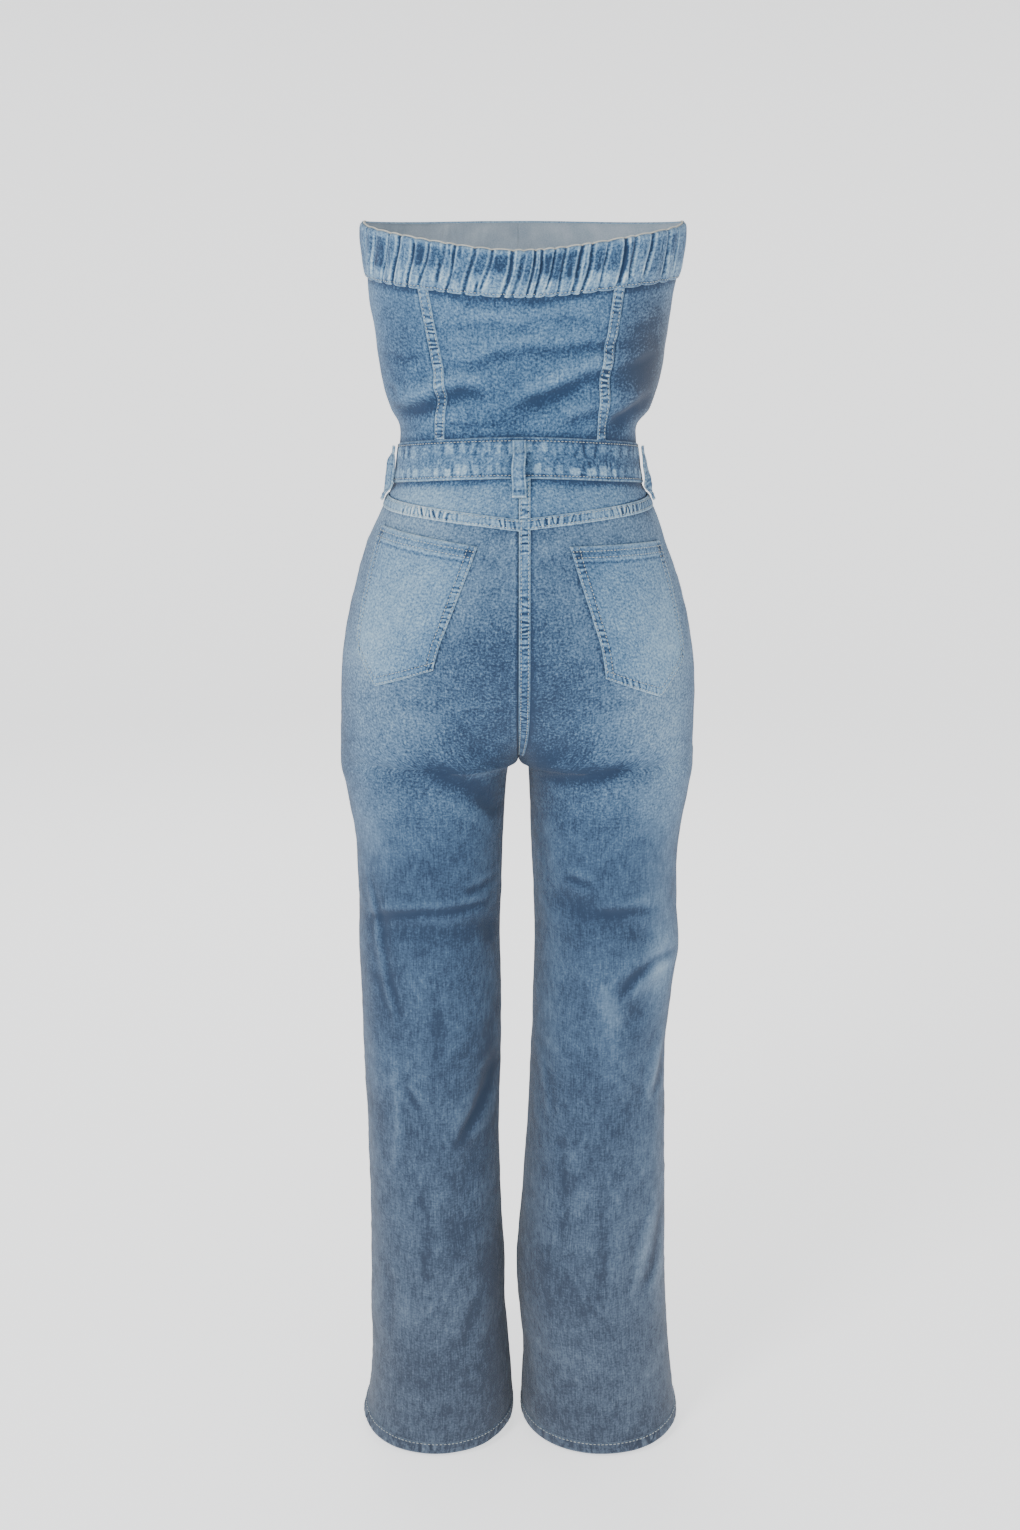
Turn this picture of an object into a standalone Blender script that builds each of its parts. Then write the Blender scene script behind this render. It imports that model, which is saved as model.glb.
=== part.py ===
"""A strapless wide-leg denim jumpsuit, worn and hollow, built panel by panel.

Metres, +Z up. The front faces -Y, the back +Y, and the wearer's left is +X. The origin
is the middle of the waist, level with the top edge of the waistband at the back.

Every panel is cut from one skin, which is the outer face of the plain cloth. A place on
the skin is (side, s, z): side is +1 on the wearer's left and -1 on the right, z is the
height, and s runs round one half of the garment, from 0 at the back seam or inseam over
0.5 at the side seam to 1 at the front seam or inseam.
"""

import math
from bisect import bisect_right

import bmesh
import bpy
from mathutils import Vector

MM = 0.001
LEFT, RIGHT = 1, -1
SIDE_NAMES = {LEFT: "left", RIGHT: "right"}

# ---- cloth and seams
DENIM = 1.4 * MM            # one layer
TURNED = 3.0 * MM           # a waistband, turned hem or elastic casing
SEAM_GAP = 0.3 * MM
FELL_WIDTH = 10.5 * MM      # the flat felled band beside a seam
FELL_RISE = 0.8 * MM
FELL_STEP = 1.0 * MM

# ---- heights of the cut, from the waistband's top edge at the back
BAND_TOP = {"back": 0.166, "side": 0.200, "front": 0.209}
BAND_BOTTOM = {"back": 0.125, "side": 0.149, "front": 0.158}
WAIST_TILT = 0.009          # the waistband's top edge drops this much from back to side
WAISTBAND_HEIGHT = 0.038
YOKE_SEAM = {"back": -0.0755, "side": -0.0560}
SEAT_Z = -0.185             # the seat is one section above this, and parts into legs below
CROTCH_Z = -0.320
HEM_Z = -1.040              # the hem's lower edge at the side seam
HEM_TILT = 0.008            # lower than that at the back, higher at the front
HEM_HEIGHT = 0.013
ARCH_HEIGHT = 0.010         # the rounding where the two inseams meet
ROUND_RISE_REACH = 0.30     # how far round the seat, in s, the rise's round shape reaches
TORSO_SQUARENESS = 2.25
LEG_SQUARENESS = 2.1

# ---- sections: half widths to the left and right, depths to the back and front
BODY_COLUMNS = ("z", "left", "right", "back", "front")
BODY = (
    (0.215, 0.1475, 0.1560, 0.1010, 0.1120),
    (0.185, 0.1480, 0.1565, 0.0985, 0.1180),
    (0.160, 0.1455, 0.1530, 0.0960, 0.1210),
    (0.129, 0.1435, 0.1475, 0.0940, 0.1170),
    (0.100, 0.1385, 0.1435, 0.0925, 0.1080),
    (0.070, 0.1350, 0.1395, 0.0905, 0.1000),
    (0.045, 0.1305, 0.1340, 0.0890, 0.0950),
    (0.025, 0.1240, 0.1270, 0.0875, 0.0910),
    (0.010, 0.1160, 0.1150, 0.0865, 0.0890),
    (-0.005, 0.1150, 0.1140, 0.0870, 0.0895),
    (-0.045, 0.1215, 0.1200, 0.0935, 0.0935),
    (-0.060, 0.1290, 0.1275, 0.0980, 0.0955),
    (-0.080, 0.1385, 0.1365, 0.1035, 0.0980),
    (-0.103, 0.1490, 0.1445, 0.1085, 0.1000),
    (-0.150, 0.1625, 0.1605, 0.1165, 0.1020),
    (-0.198, 0.1725, 0.1715, 0.1205, 0.1015),
    (-0.250, 0.1785, 0.1785, 0.1185, 0.0990),
    (-0.283, 0.1795, 0.1785, 0.1135, 0.0970),
    (-0.320, 0.1785, 0.1755, 0.1050, 0.0940),
)
# ---- each leg: how far its outer and inner sides lie from the middle plane
LEG_COLUMNS = ("z", "left_outer", "left_inner", "right_inner", "right_outer", "back", "front")
LEG = (
    (-0.185, 0.1700, 0.0000, 0.0000, 0.1690, 0.1100, 0.0950),
    (-0.320, 0.1785, 0.0095, 0.0095, 0.1755, 0.0980, 0.0910),
    (-0.345, 0.1736, 0.0126, 0.0107, 0.1720, 0.0950, 0.0890),
    (-0.407, 0.1646, 0.0156, 0.0129, 0.1620, 0.0890, 0.0850),
    (-0.470, 0.1630, 0.0178, 0.0160, 0.1620, 0.0855, 0.0820),
    (-0.514, 0.1634, 0.0188, 0.0163, 0.1650, 0.0830, 0.0805),
    (-0.557, 0.1620, 0.0178, 0.0154, 0.1595, 0.0810, 0.0795),
    (-0.623, 0.1610, 0.0180, 0.0134, 0.1530, 0.0790, 0.0780),
    (-0.712, 0.1580, 0.0200, 0.0094, 0.1540, 0.0790, 0.0780),
    (-0.803, 0.1566, 0.0180, 0.0032, 0.1556, 0.0800, 0.0790),
    (-0.870, 0.1570, 0.0145, -0.0015, 0.1565, 0.0810, 0.0800),
    (-0.919, 0.1580, 0.0140, 0.0012, 0.1590, 0.0820, 0.0810),
    (-0.967, 0.1570, 0.0096, 0.0056, 0.1630, 0.0835, 0.0820),
    (-1.014, 0.1610, 0.0063, 0.0035, 0.1680, 0.0855, 0.0830),
    (-1.050, 0.1690, 0.0048, 0.0035, 0.1740, 0.0875, 0.0840),
)

# ---- the largest folds, in millimetres: a ridge is high, a trough is low
FOLD_COLUMNS = ("facing", "x0", "z0", "x1", "z1", "width", "height")
FOLDS = (
    ("back", 85, 55, -125, 88, 9, -1.8),
    ("back", 125, 20, 40, 40, 8, -3.0),
    ("back", 128, 32, 60, 52, 9, 2.0),
    ("back", 20, 16, -128, 66, 9, -3.0),
    ("back", -20, 14, -105, 40, 9, 2.2),
    ("back", -88, 8, -138, 40, 8, -2.6),
    ("back", 60, 100, -60, 96, 10, -1.2),
    ("front", 110, 24, 20, 34, 9, -2.4),
    ("front", -110, 20, -25, 42, 9, -2.4),
    ("back", 130, -318, 40, -300, 14, -2.6),
    ("back", -130, -314, -42, -300, 14, -2.6),
    ("back", 160, -472, 30, -482, 13, -3.0),
    ("back", 168, -430, 142, -640, 16, 2.6),
    ("back", 30, -640, 66, -800, 16, -3.0),
    ("back", -50, -450, -128, -484, 13, -2.8),
    ("back", -150, -530, -110, -580, 14, -2.4),
    ("back", -72, -520, -104, -640, 16, 2.4),
    ("back", -138, -630, -144, -900, 14, 2.4),
    ("front", 150, -345, 45, -322, 14, -2.8),
    ("front", -150, -340, -45, -318, 14, -2.8),
    ("front", 140, -560, 50, -585, 14, -2.6),
    ("front", -140, -570, -50, -590, 14, -2.6),
    ("front", 95, -640, 100, -960, 17, 2.4),
    ("front", -92, -640, -98, -960, 17, 2.4),
)

# ---- princess seams: distance from the middle plane, against height
PRINCESS_COLUMNS = ("z", "back_left", "back_right", "front_left", "front_right")
PRINCESS = (
    (0.170, 0.0980, 0.1020, 0.0820, 0.0820),
    (0.127, 0.0920, 0.0955, 0.0800, 0.0800),
    (0.050, 0.0785, 0.0850, 0.0640, 0.0640),
    (-0.005, 0.0790, 0.0815, 0.0580, 0.0580),
)

# ---- the gathers of the back band: where each groove lies, left (+) to right, in millimetres
GROOVES = (137, 128, 116, 106, 92, 80, 66, 56, 40, 25, 5, -4, -15, -22, -32, -42, -56, -65,
           -79, -95, -103, -117, -133, -141)
GATHER_DEPTH = 2.6 * MM
POINTS_PER_GATHER = 6

# ---- back pockets: corners (x, z) in millimetres, as they lie
POCKET_CORNERS = ("top_inner", "top_outer", "bottom_inner", "point", "bottom_outer")
POCKETS = {
    LEFT: ((38.5, -100), (129.5, -84), (80.5, -215), (136.5, -234), (155.5, -198)),
    RIGHT: ((-46.5, -100), (-133.5, -99), (-81.5, -223), (-134.5, -244), (-158.5, -208)),
}
POCKET_CLEARANCE = 0.8 * MM  # 0.3 mm where the facets under it stand highest
POCKET_HEM = 0.13           # the turned top, as a share of the pocket's height

# ---- belt loops
LOOP_WIDTH = 12 * MM
LOOP_THICKNESS = 2 * MM
LOOP_STANDOFF = 6.5 * MM
LOOP_TOP = -0.003
LOOP_BOTTOM = -0.056
LOOP_END = 6 * MM           # the stitched-down length at each end

# ---- front closing
PLACKET_WIDTH = 28 * MM
FLY_WIDTH = 36 * MM
FLY_LENGTH = 0.150
BODICE_BUTTONS = 5
BODICE_BUTTON_RADIUS = 7.5 * MM
WAIST_BUTTON_RADIUS = 9 * MM
BUTTON_CLEARANCE = 0.7 * MM  # a flat back over cloth that curves in at the waist

COLOURS = {
    "seat": (0.285, 0.400, 0.520),
    "leg": (0.235, 0.345, 0.465),
    "bodice": (0.270, 0.375, 0.490),
    "trim": (0.330, 0.440, 0.545),
    "metal": (0.420, 0.400, 0.370),
}


# ---------------------------------------------------------------- the skin
def smooth_table(names, rows):
    """Returns value(column, z), which runs smoothly through the rows of a table."""
    ordered = sorted(rows)
    heights = [row[0] for row in ordered]
    columns = {name: [row[k] for row in ordered] for k, name in enumerate(names)}

    def slope(values, k):
        low, high = max(k - 1, 0), min(k + 1, len(values) - 1)
        return (values[high] - values[low]) / (heights[high] - heights[low])

    def value(column, z):
        values = columns[column]
        z = min(max(z, heights[0]), heights[-1])
        k = min(max(bisect_right(heights, z) - 1, 0), len(heights) - 2)
        span = heights[k + 1] - heights[k]
        t = (z - heights[k]) / span
        return (
            (2 * t**3 - 3 * t**2 + 1) * values[k]
            + (t**3 - 2 * t**2 + t) * span * slope(values, k)
            + (3 * t**2 - 2 * t**3) * values[k + 1]
            + (t**3 - t**2) * span * slope(values, k + 1)
        )

    return value


body = smooth_table(BODY_COLUMNS, BODY)
leg = smooth_table(LEG_COLUMNS, LEG)
princess = smooth_table(PRINCESS_COLUMNS, PRINCESS)


def oval(angle, half_width, depth, squareness):
    across = abs(math.sin(angle) / half_width) ** squareness
    along = abs(math.cos(angle) / depth) ** squareness
    return (across + along) ** (-1 / squareness)


def torso_point(side, s, z):
    angle = math.pi * s
    depth = body("back" if s < 0.5 else "front", z)
    radius = oval(angle, body(SIDE_NAMES[side], z), depth, TORSO_SQUARENESS)
    return Vector((side * radius * math.sin(angle), radius * math.cos(angle), z))


def leg_point(side, s, z):
    outer = leg(SIDE_NAMES[side] + "_outer", z)
    inner = leg(SIDE_NAMES[side] + "_inner", z)
    below_crotch = (CROTCH_Z - z) / ARCH_HEIGHT
    if below_crotch < 1:
        inner *= math.sqrt(1 - (1 - max(below_crotch, 0)) ** 2)
    back, front = leg("back", z), leg("front", z)
    angle = 2 * math.pi * (s - 0.25)
    radius = oval(angle, (outer - inner) / 2, (back + front) / 2, LEG_SQUARENESS)
    x = (outer + inner) / 2 + radius * math.sin(angle)
    return Vector((side * x, (back - front) / 2 + radius * math.cos(angle), z))


def leg_share(s, z):
    """0 where the section is one seat, 1 where it is two legs. The change is a round rise at
    the middle seams and a slow one at the sides."""
    rise = min(max((z - CROTCH_Z) / (SEAT_Z - CROTCH_Z), 0), 1)
    round_rise = 1 - math.sqrt(rise * (2 - rise))
    slow_rise = (1 - rise) ** 2 * (1 + 2 * rise)
    turn = min(min(s, 1 - s) / ROUND_RISE_REACH, 1)
    return round_rise + (slow_rise - round_rise) * turn * turn * (3 - 2 * turn)


def skin(side, s, z):
    """The outer face of the plain cloth. s may run past a seam, onto the next piece."""
    if z < CROTCH_Z:
        return leg_point(side, s % 1, z)
    if s < 0:
        return skin(-side, -s, z)
    if s > 1:
        return skin(-side, 2 - s, z)
    share = leg_share(s, z)
    if share == 0:
        return torso_point(side, s, z)
    return torso_point(side, s, z).lerp(leg_point(side, s, z), share)


CROTCH_BLEND = 0.018


def outward(side, s, z):
    """The skin's normal. Round the crotch it turns straight down, the same for all panels."""
    ds, dz = 0.003, 0.0005
    across = skin(side, s + ds, z) - skin(side, s - ds, z)
    down = skin(side, s, z - dz) - skin(side, s, z + dz)
    normal = side * across.cross(down).normalized()
    crotch = Vector((0, (leg("back", CROTCH_Z) - leg("front", CROTCH_Z)) / 2, CROTCH_Z))
    near = 1 - (skin(side, s, z) - crotch).length / CROTCH_BLEND
    if near > 0:
        share = near * near * (3 - 2 * near)
        normal = normal.lerp(Vector((0, 0, -1)), share).normalized()
    return normal


def fold_height(point, normal):
    """How far the folds lift or sink the cloth at a point of the skin."""
    total = 0.0
    for facing, x0, z0, x1, z1, width, height in FOLDS:
        toward = normal.y if facing == "back" else -normal.y
        if toward <= 0:
            continue
        ax, az = point.x / MM - x0, point.z / MM - z0
        bx, bz = x1 - x0, z1 - z0
        along = min(max((ax * bx + az * bz) / (bx * bx + bz * bz), 0), 1)
        distance = math.hypot(ax - along * bx, az - along * bz)
        fade = min(toward * 1.6, 1)
        total += height * MM * fade * math.exp(-((distance / width) ** 2))
    return total


def cloth(side, s, z, height=0.0):
    """A point at a height over the skin, folds included."""
    base = skin(side, s, z)
    normal = outward(side, s, z)
    return base + normal * (fold_height(base, normal) + height)


def place_at(side, x, z, front=False):
    """The s at which the skin lies x from the middle plane, on the back or on the front."""
    low, high = (0.5, 1.0) if front else (0.0, 0.5)
    for _ in range(40):
        middle = (low + high) / 2
        short = side * skin(side, middle, z).x < x
        if short != front:
            low = middle
        else:
            high = middle
    return (low + high) / 2


# ---------------------------------------------------------------- lines of the cut
def level(table, s):
    """A height that runs from its back value over the side to the front as the skin turns."""
    turn = math.cos(math.pi * s)
    end = table["back"] if turn > 0 else table.get("front", table["side"])
    return table["side"] + (end - table["side"]) * abs(turn)


def waist_top(s):
    return -WAIST_TILT * (1 - math.cos(math.pi * s))


def waist_bottom(s):
    return waist_top(s) - WAISTBAND_HEIGHT


def band_top(s):
    return level(BAND_TOP, s)


def band_bottom(s):
    return level(BAND_BOTTOM, s)


def yoke_seam(s):
    """The yoke's V, deepest at the back seam."""
    return YOKE_SEAM["back"] + (YOKE_SEAM["side"] - YOKE_SEAM["back"]) * min(s, 0.5) / 0.5


def hem_bottom(s):
    return HEM_Z - HEM_TILT * math.sin(2 * math.pi * s)


def hem_top(s):
    return hem_bottom(s) + HEM_HEIGHT


def spread(count, start=0.0, end=1.0):
    return [start + (end - start) * k / count for k in range(count + 1)]


def between(first, last, share):
    return first + (last - first) * share


def cut(s_from, s_to, z_top, z_bottom, across, down):
    """The places of a panel between two seams (functions of z) and two edges (of s)."""
    rows = []
    for v in down:
        row = []
        for u in across:
            s, z = between(s_from(0), s_to(0), u), 0.0
            for _ in range(4):
                z = between(z_top(s), z_bottom(s), v)
                s = between(s_from(z), s_to(z), u)
            row.append((s, z))
        rows.append(row)
    return rows


def constant(value):
    return lambda _: value


# ---------------------------------------------------------------- making the pieces
def material(name):
    made = bpy.data.materials.get(name)
    if made:
        return made
    made = bpy.data.materials.new(name)
    made.use_nodes = True
    surface = made.node_tree.nodes["Principled BSDF"]
    surface.inputs["Base Color"].default_value = (*COLOURS[name], 1)
    surface.inputs["Roughness"].default_value = 0.35 if name == "metal" else 0.9
    surface.inputs["Metallic"].default_value = 1.0 if name == "metal" else 0.0
    made.diffuse_color = (*COLOURS[name], 1)
    return made


def add_object(name, mesh_data, colour):
    bmesh.ops.recalc_face_normals(mesh_data, faces=mesh_data.faces[:])
    mesh = bpy.data.meshes.new(name)
    mesh_data.to_mesh(mesh)
    mesh_data.free()
    mesh.materials.append(material(colour))
    piece = bpy.data.objects.new(name, mesh)
    parts.objects.link(piece)
    return piece


def wall_from_grids(name, outer, inner, colour, ring=False):
    """One closed wall: a flat grid is bent onto the outer points and extruded to the inner."""
    down, across = len(outer) - 1, len(outer[0]) - 1
    sheet = bmesh.new()
    bmesh.ops.create_grid(sheet, x_segments=across, y_segments=down, size=0.5)
    row_mark = sheet.verts.layers.int.new("row")
    column_mark = sheet.verts.layers.int.new("column")
    for vert in sheet.verts:
        row = round((0.5 - vert.co.y) * down)
        column = round((vert.co.x + 0.5) * across)
        vert[row_mark], vert[column_mark] = row, column
        vert.co = outer[row][column]
    if ring:
        bmesh.ops.remove_doubles(sheet, verts=sheet.verts[:], dist=1e-6)
    made = bmesh.ops.extrude_face_region(sheet, geom=sheet.faces[:], use_keep_orig=True)
    for vert in made["geom"]:
        if isinstance(vert, bmesh.types.BMVert):
            vert.co = inner[vert[row_mark]][vert[column_mark]]
    return add_object(name, sheet, colour)


def part_at_seams(points, ring):
    """How far each point moves so that the panel ends half a seam gap inside its lines."""
    last_row, last_column = len(points) - 1, len(points[0]) - 1
    shifts = []
    for i in range(last_row + 1):
        row = []
        for j in range(last_column + 1):
            shift = Vector()
            if i in (0, last_row):
                toward = points[1 if i == 0 else last_row - 1][j] - points[i][j]
                shift += toward.normalized() * SEAM_GAP / 2
            if j in (0, last_column) and not ring:
                toward = points[i][1 if j == 0 else last_column - 1] - points[i][j]
                shift += toward.normalized() * SEAM_GAP / 2
            row.append(shift)
        shifts.append(row)
    return shifts


def panel(name, side, places, colour, lift=0.0, wall=DENIM, raised=None, ring=False):
    """A cut piece of cloth: its places on the skin, its lift over it and its wall inward."""
    base = [[skin(side, s, z) for s, z in row] for row in places]
    shifts = part_at_seams(base, ring)
    outer, inner = [], []
    for i, row in enumerate(places):
        outer.append([])
        inner.append([])
        for j, (s, z) in enumerate(row):
            normal = outward(side, s, z)
            foot = base[i][j] + shifts[i][j] + normal * (fold_height(base[i][j], normal) + lift)
            extra = raised(i, j, s, z) if raised else 0.0
            ends = [foot + normal * extra, foot - normal * wall]
            if CROTCH_Z <= z < SEAT_Z:
                for end in ends:
                    end.x = side * max(side * end.x, SEAM_GAP / 2)
            outer[-1].append(ends[0])
            inner[-1].append(ends[1])
    return wall_from_grids(name, outer, inner, colour, ring)


# ---------------------------------------------------------------- top band and bodice
def groove_places():
    """The s of every groove across the back, negative on the wearer's right."""
    places = [-0.5]
    for x in sorted(GROOVES):
        side = LEFT if x > 0 else RIGHT
        places.append(side * place_at(side, abs(x) * MM, band_top(0) - 0.02))
    return places + [0.5]


def top_band():
    grooves = groove_places()
    across, swell = [], []
    for first, last in zip(grooves, grooves[1:]):
        for k in range(POINTS_PER_GATHER):
            share = k / POINTS_PER_GATHER
            across.append(between(first, last, share))
            swell.append(math.sin(math.pi * share) ** 0.7)
    across.append(grooves[-1])
    swell.append(0.0)
    down = (0.0, 0.16, 0.55, 0.86, 1.0)
    puff = (0.35, 1.0, 1.0, 0.9, 0.55)
    places = [[(s, between(band_top(s), band_bottom(s), v)) for s in across] for v in down]

    def gather(i, j, s, z):
        return GATHER_DEPTH * (swell[j] * puff[i] - 0.45)

    panel("top_band_back", LEFT, places, "trim", lift=2.0 * MM, wall=TURNED, raised=gather)
    for side in (LEFT, RIGHT):
        places = cut(constant(0.5), constant(1.0), band_top, band_bottom, spread(12), spread(2))
        name = "top_band_front_" + SIDE_NAMES[side]
        panel(name, side, places, "trim", lift=2.0 * MM, wall=TURNED)


def felled_columns(width, count, first=False, last=False):
    """Shares across a panel, with close pairs where a felled band steps down."""
    inner, outer = FELL_WIDTH / width, (FELL_WIDTH + FELL_STEP) / width
    start, end = (outer if first else 0.0), (1 - outer if last else 1.0)
    shares = spread(count, start, end)
    if first:
        shares = [0.0, inner] + shares
    if last:
        shares = shares + [1 - inner, 1.0]
    return shares


def princess_line(side, column):
    front = column.startswith("front")
    return lambda z: place_at(side, princess(column, z), z, front)


BODICE_ROWS = (0.0, 0.10, 0.22, 0.34, 0.45, 0.55, 0.64, 0.73, 0.82, 0.91, 1.0)


def bodice():
    lines = {
        (side, facing): princess_line(side, facing + "_" + SIDE_NAMES[side])
        for side in (LEFT, RIGHT) for facing in ("back", "front")
    }
    left, right = lines[LEFT, "back"], lines[RIGHT, "back"]
    across = felled_columns(0.18, 14, first=True, last=True)
    places = cut(lambda z: -right(z), left, band_bottom, waist_top, across, BODICE_ROWS)

    def felled(i, j, s, z):
        return FELL_RISE if j in (0, 1, len(across) - 2, len(across) - 1) else 0.0

    panel("bodice_back_centre", LEFT, places, "bodice", raised=felled)
    for side in (LEFT, RIGHT):
        name = SIDE_NAMES[side]
        back, front = lines[side, "back"], lines[side, "front"]
        places = cut(back, constant(0.5), band_bottom, waist_top, spread(7), BODICE_ROWS)
        panel("bodice_back_side_" + name, side, places, "bodice")
        places = cut(constant(0.5), front, band_bottom, waist_top, spread(7), BODICE_ROWS)
        panel("bodice_front_side_" + name, side, places, "bodice")
        places = cut(front, constant(1.0), band_bottom, waist_top, spread(7), BODICE_ROWS)
        panel("bodice_front_centre_" + name, side, places, "bodice")


# ---------------------------------------------------------------- waistband and loops
# The columns of the yoke, legs, hems and waistband, so that they meet point to point.
BACK_COLUMNS = (0.0, 0.06, 0.13, 0.21, 0.30, 0.39, 0.48, 0.57, 0.66, 0.75, 0.84, 0.92, 1.0)
FRONT_COLUMNS = (0.0, 0.13, 0.26, 0.39, 0.51, 0.63, 0.75, 0.86, 0.94, 1.0)
AROUND = [share / 2 for share in BACK_COLUMNS] + [0.5 + u / 2 for u in FRONT_COLUMNS[1:]]
WAISTBAND_LIFT = 1.8 * MM


def waistband():
    rows = (0.0, 0.12, 0.88, 1.0)
    for side in (LEFT, RIGHT):
        places = cut(constant(0.0), constant(1.0), waist_top, waist_bottom, AROUND, rows)
        panel("waistband_" + SIDE_NAMES[side], side, places, "trim",
              lift=WAISTBAND_LIFT, wall=TURNED)


def belt_loop(name, side, s):
    """A strap that lies on the waistband's top and the cloth below it, and bows out between."""
    clear = SEAM_GAP + FELL_RISE
    top, bottom = waist_top(s) + LOOP_TOP, waist_top(s) + LOOP_BOTTOM
    belt_edge = waist_bottom(s)
    stations = spread(10)
    outer, inner = [], []
    width_s = LOOP_WIDTH / 2 / (skin(side, s + 0.01, top) - skin(side, s - 0.01, top)).length * 0.02
    for v in stations:
        z = between(top, bottom, v)
        end_share = LOOP_END / (top - bottom)
        bow = min(max(min(v, 1 - v) / end_share - 1, 0) / 1.6, 1)
        bow = bow * bow * (3 - 2 * bow)
        over_band = min(max((z - belt_edge + 4 * MM) / (8 * MM), 0), 1)
        seat = clear + between(0.0, WAISTBAND_LIFT, max(over_band, 0.0))
        height = seat + LOOP_STANDOFF * bow
        middle = skin(side, s, z)
        normal = outward(side, s, z)
        edge = (skin(side, s + width_s, z) - skin(side, s - width_s, z)) / 2
        outer_row, inner_row = [], []
        for share in (-1, 0, 1):
            foot = skin(side, s + share * width_s, z) if bow == 0 else middle + edge * share
            outer_row.append(foot + normal * (height + LOOP_THICKNESS))
            inner_row.append(foot + normal * height)
        outer.append(outer_row)
        inner.append(inner_row)
    wall_from_grids(name, outer, inner, "trim")


# ---------------------------------------------------------------- yoke, legs and hems
LEG_LEVELS = (-0.096, -0.108, -0.122, -0.140, -0.162, -0.185, -0.210, -0.236, -0.258, -0.276,
              -0.291, -0.303, -0.312, -0.318, CROTCH_Z, -0.323, -0.328, -0.336, -0.348, -0.366, -0.392, -0.422,
              -0.452, -0.480, -0.508, -0.545, -0.590, -0.640, -0.700, -0.770, -0.840, -0.905,
              -0.960, -1.000)


def seat_columns(side):
    """Shares across a back panel. The right one carries the back seam's felled band."""
    shares = list(BACK_COLUMNS)
    if side == RIGHT:
        shares = [0.0, -FELL_WIDTH, -(FELL_WIDTH + FELL_STEP)] + shares[2:]
    return shares


def seat_place(side, share, z):
    """The s of a column. A negative share is a distance in metres from the back seam."""
    if share >= 0:
        return share / 2
    reach = (skin(side, 0.03, z) - skin(side, 0.0, z)).length
    return 0.03 * -share / reach


def seat_felled(side, felled_rows):
    def raised(i, j, s, z):
        beside_seam = side == RIGHT and j < 2 and z >= CROTCH_Z
        return FELL_RISE if beside_seam or i < felled_rows else 0.0
    return raised


def yoke():
    for side in (LEFT, RIGHT):
        columns = seat_columns(side)
        places = []
        for v in spread(3):
            row = []
            for share in columns:
                s = seat_place(side, share, YOKE_SEAM["back"])
                row.append((s, between(waist_bottom(s), yoke_seam(s), v)))
            places.append(row)
        panel("yoke_" + SIDE_NAMES[side], side, places, "seat", raised=seat_felled(side, 0))


def eased(levels, s, line, reach=0.10):
    """Heights that follow a slanting top line and settle level below it."""
    top = line(s)
    offset = top - line(0.25)
    return [z + offset * max(1 - (line(0.25) - z) / reach, 0) for z in levels]


def back_legs():
    for side in (LEFT, RIGHT):
        columns = seat_columns(side)
        rows_of = []
        for share in columns:
            s = seat_place(side, share, YOKE_SEAM["back"])
            top = yoke_seam(s)
            heights = [top, top - FELL_WIDTH, top - FELL_WIDTH - FELL_STEP]
            rows_of.append(heights + eased(LEG_LEVELS, s, yoke_seam) + [None])
        places = []
        for i in range(len(rows_of[0])):
            row = []
            for share, heights in zip(columns, rows_of):
                z = heights[i]
                if z is None:
                    z = hem_top(max(share, 0) / 2)
                row.append((seat_place(side, share, z), z))
            places.append(row)
        panel("back_leg_" + SIDE_NAMES[side], side, places, "leg", raised=seat_felled(side, 2))


def front_legs():
    levels = (-0.075,) + LEG_LEVELS
    for side in (LEFT, RIGHT):
        places = []
        for i in range(len(levels) + 2):
            row = []
            for share in FRONT_COLUMNS:
                s = 0.5 + share / 2
                heights = [waist_bottom(s)] + eased(levels, s, waist_bottom) + [hem_top(s)]
                row.append((s, heights[i]))
            places.append(row)
        panel("front_leg_" + SIDE_NAMES[side], side, places, "leg")


def hems():
    for side in (LEFT, RIGHT):
        places = [[(s, between(hem_top(s), hem_bottom(s), v)) for s in AROUND]
                  for v in (0.0, 0.5, 1.0)]
        panel("hem_" + SIDE_NAMES[side], side, places, "leg",
              lift=0.8 * MM, wall=TURNED, ring=True)


# ---------------------------------------------------------------- pockets
def pocket(side):
    corners = {
        name: Vector((place_at(side, abs(x) * MM, z * MM), z * MM))
        for name, (x, z) in zip(POCKET_CORNERS, POCKETS[side])
    }
    height = corners["top_inner"].y - corners["bottom_inner"].y
    bottom = corners["bottom_outer"].x - corners["bottom_inner"].x
    point_share = (corners["point"].x - corners["bottom_inner"].x) / bottom
    across = spread(6, 0.0, point_share) + spread(3, point_share, 1.0)[1:]
    down = [0.0, POCKET_HEM, POCKET_HEM + FELL_STEP / height] + spread(7, 0.2, 1.0)
    outer, inner = [], []
    for v in down:
        outer_row, inner_row = [], []
        for u in across:
            top = corners["top_inner"].lerp(corners["top_outer"], u)
            if u <= point_share:
                low = corners["bottom_inner"].lerp(corners["point"], u / point_share)
            else:
                share = (u - point_share) / (1 - point_share)
                low = corners["point"].lerp(corners["bottom_outer"], share)
            s, z = top.lerp(low, v)
            turned = FELL_RISE if v <= POCKET_HEM else 0.0
            inner_row.append(cloth(side, s, z, POCKET_CLEARANCE))
            outer_row.append(cloth(side, s, z, POCKET_CLEARANCE + DENIM + turned))
        outer.append(outer_row)
        inner.append(inner_row)
    wall_from_grids("back_pocket_" + SIDE_NAMES[side], outer, inner, "seat")


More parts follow.
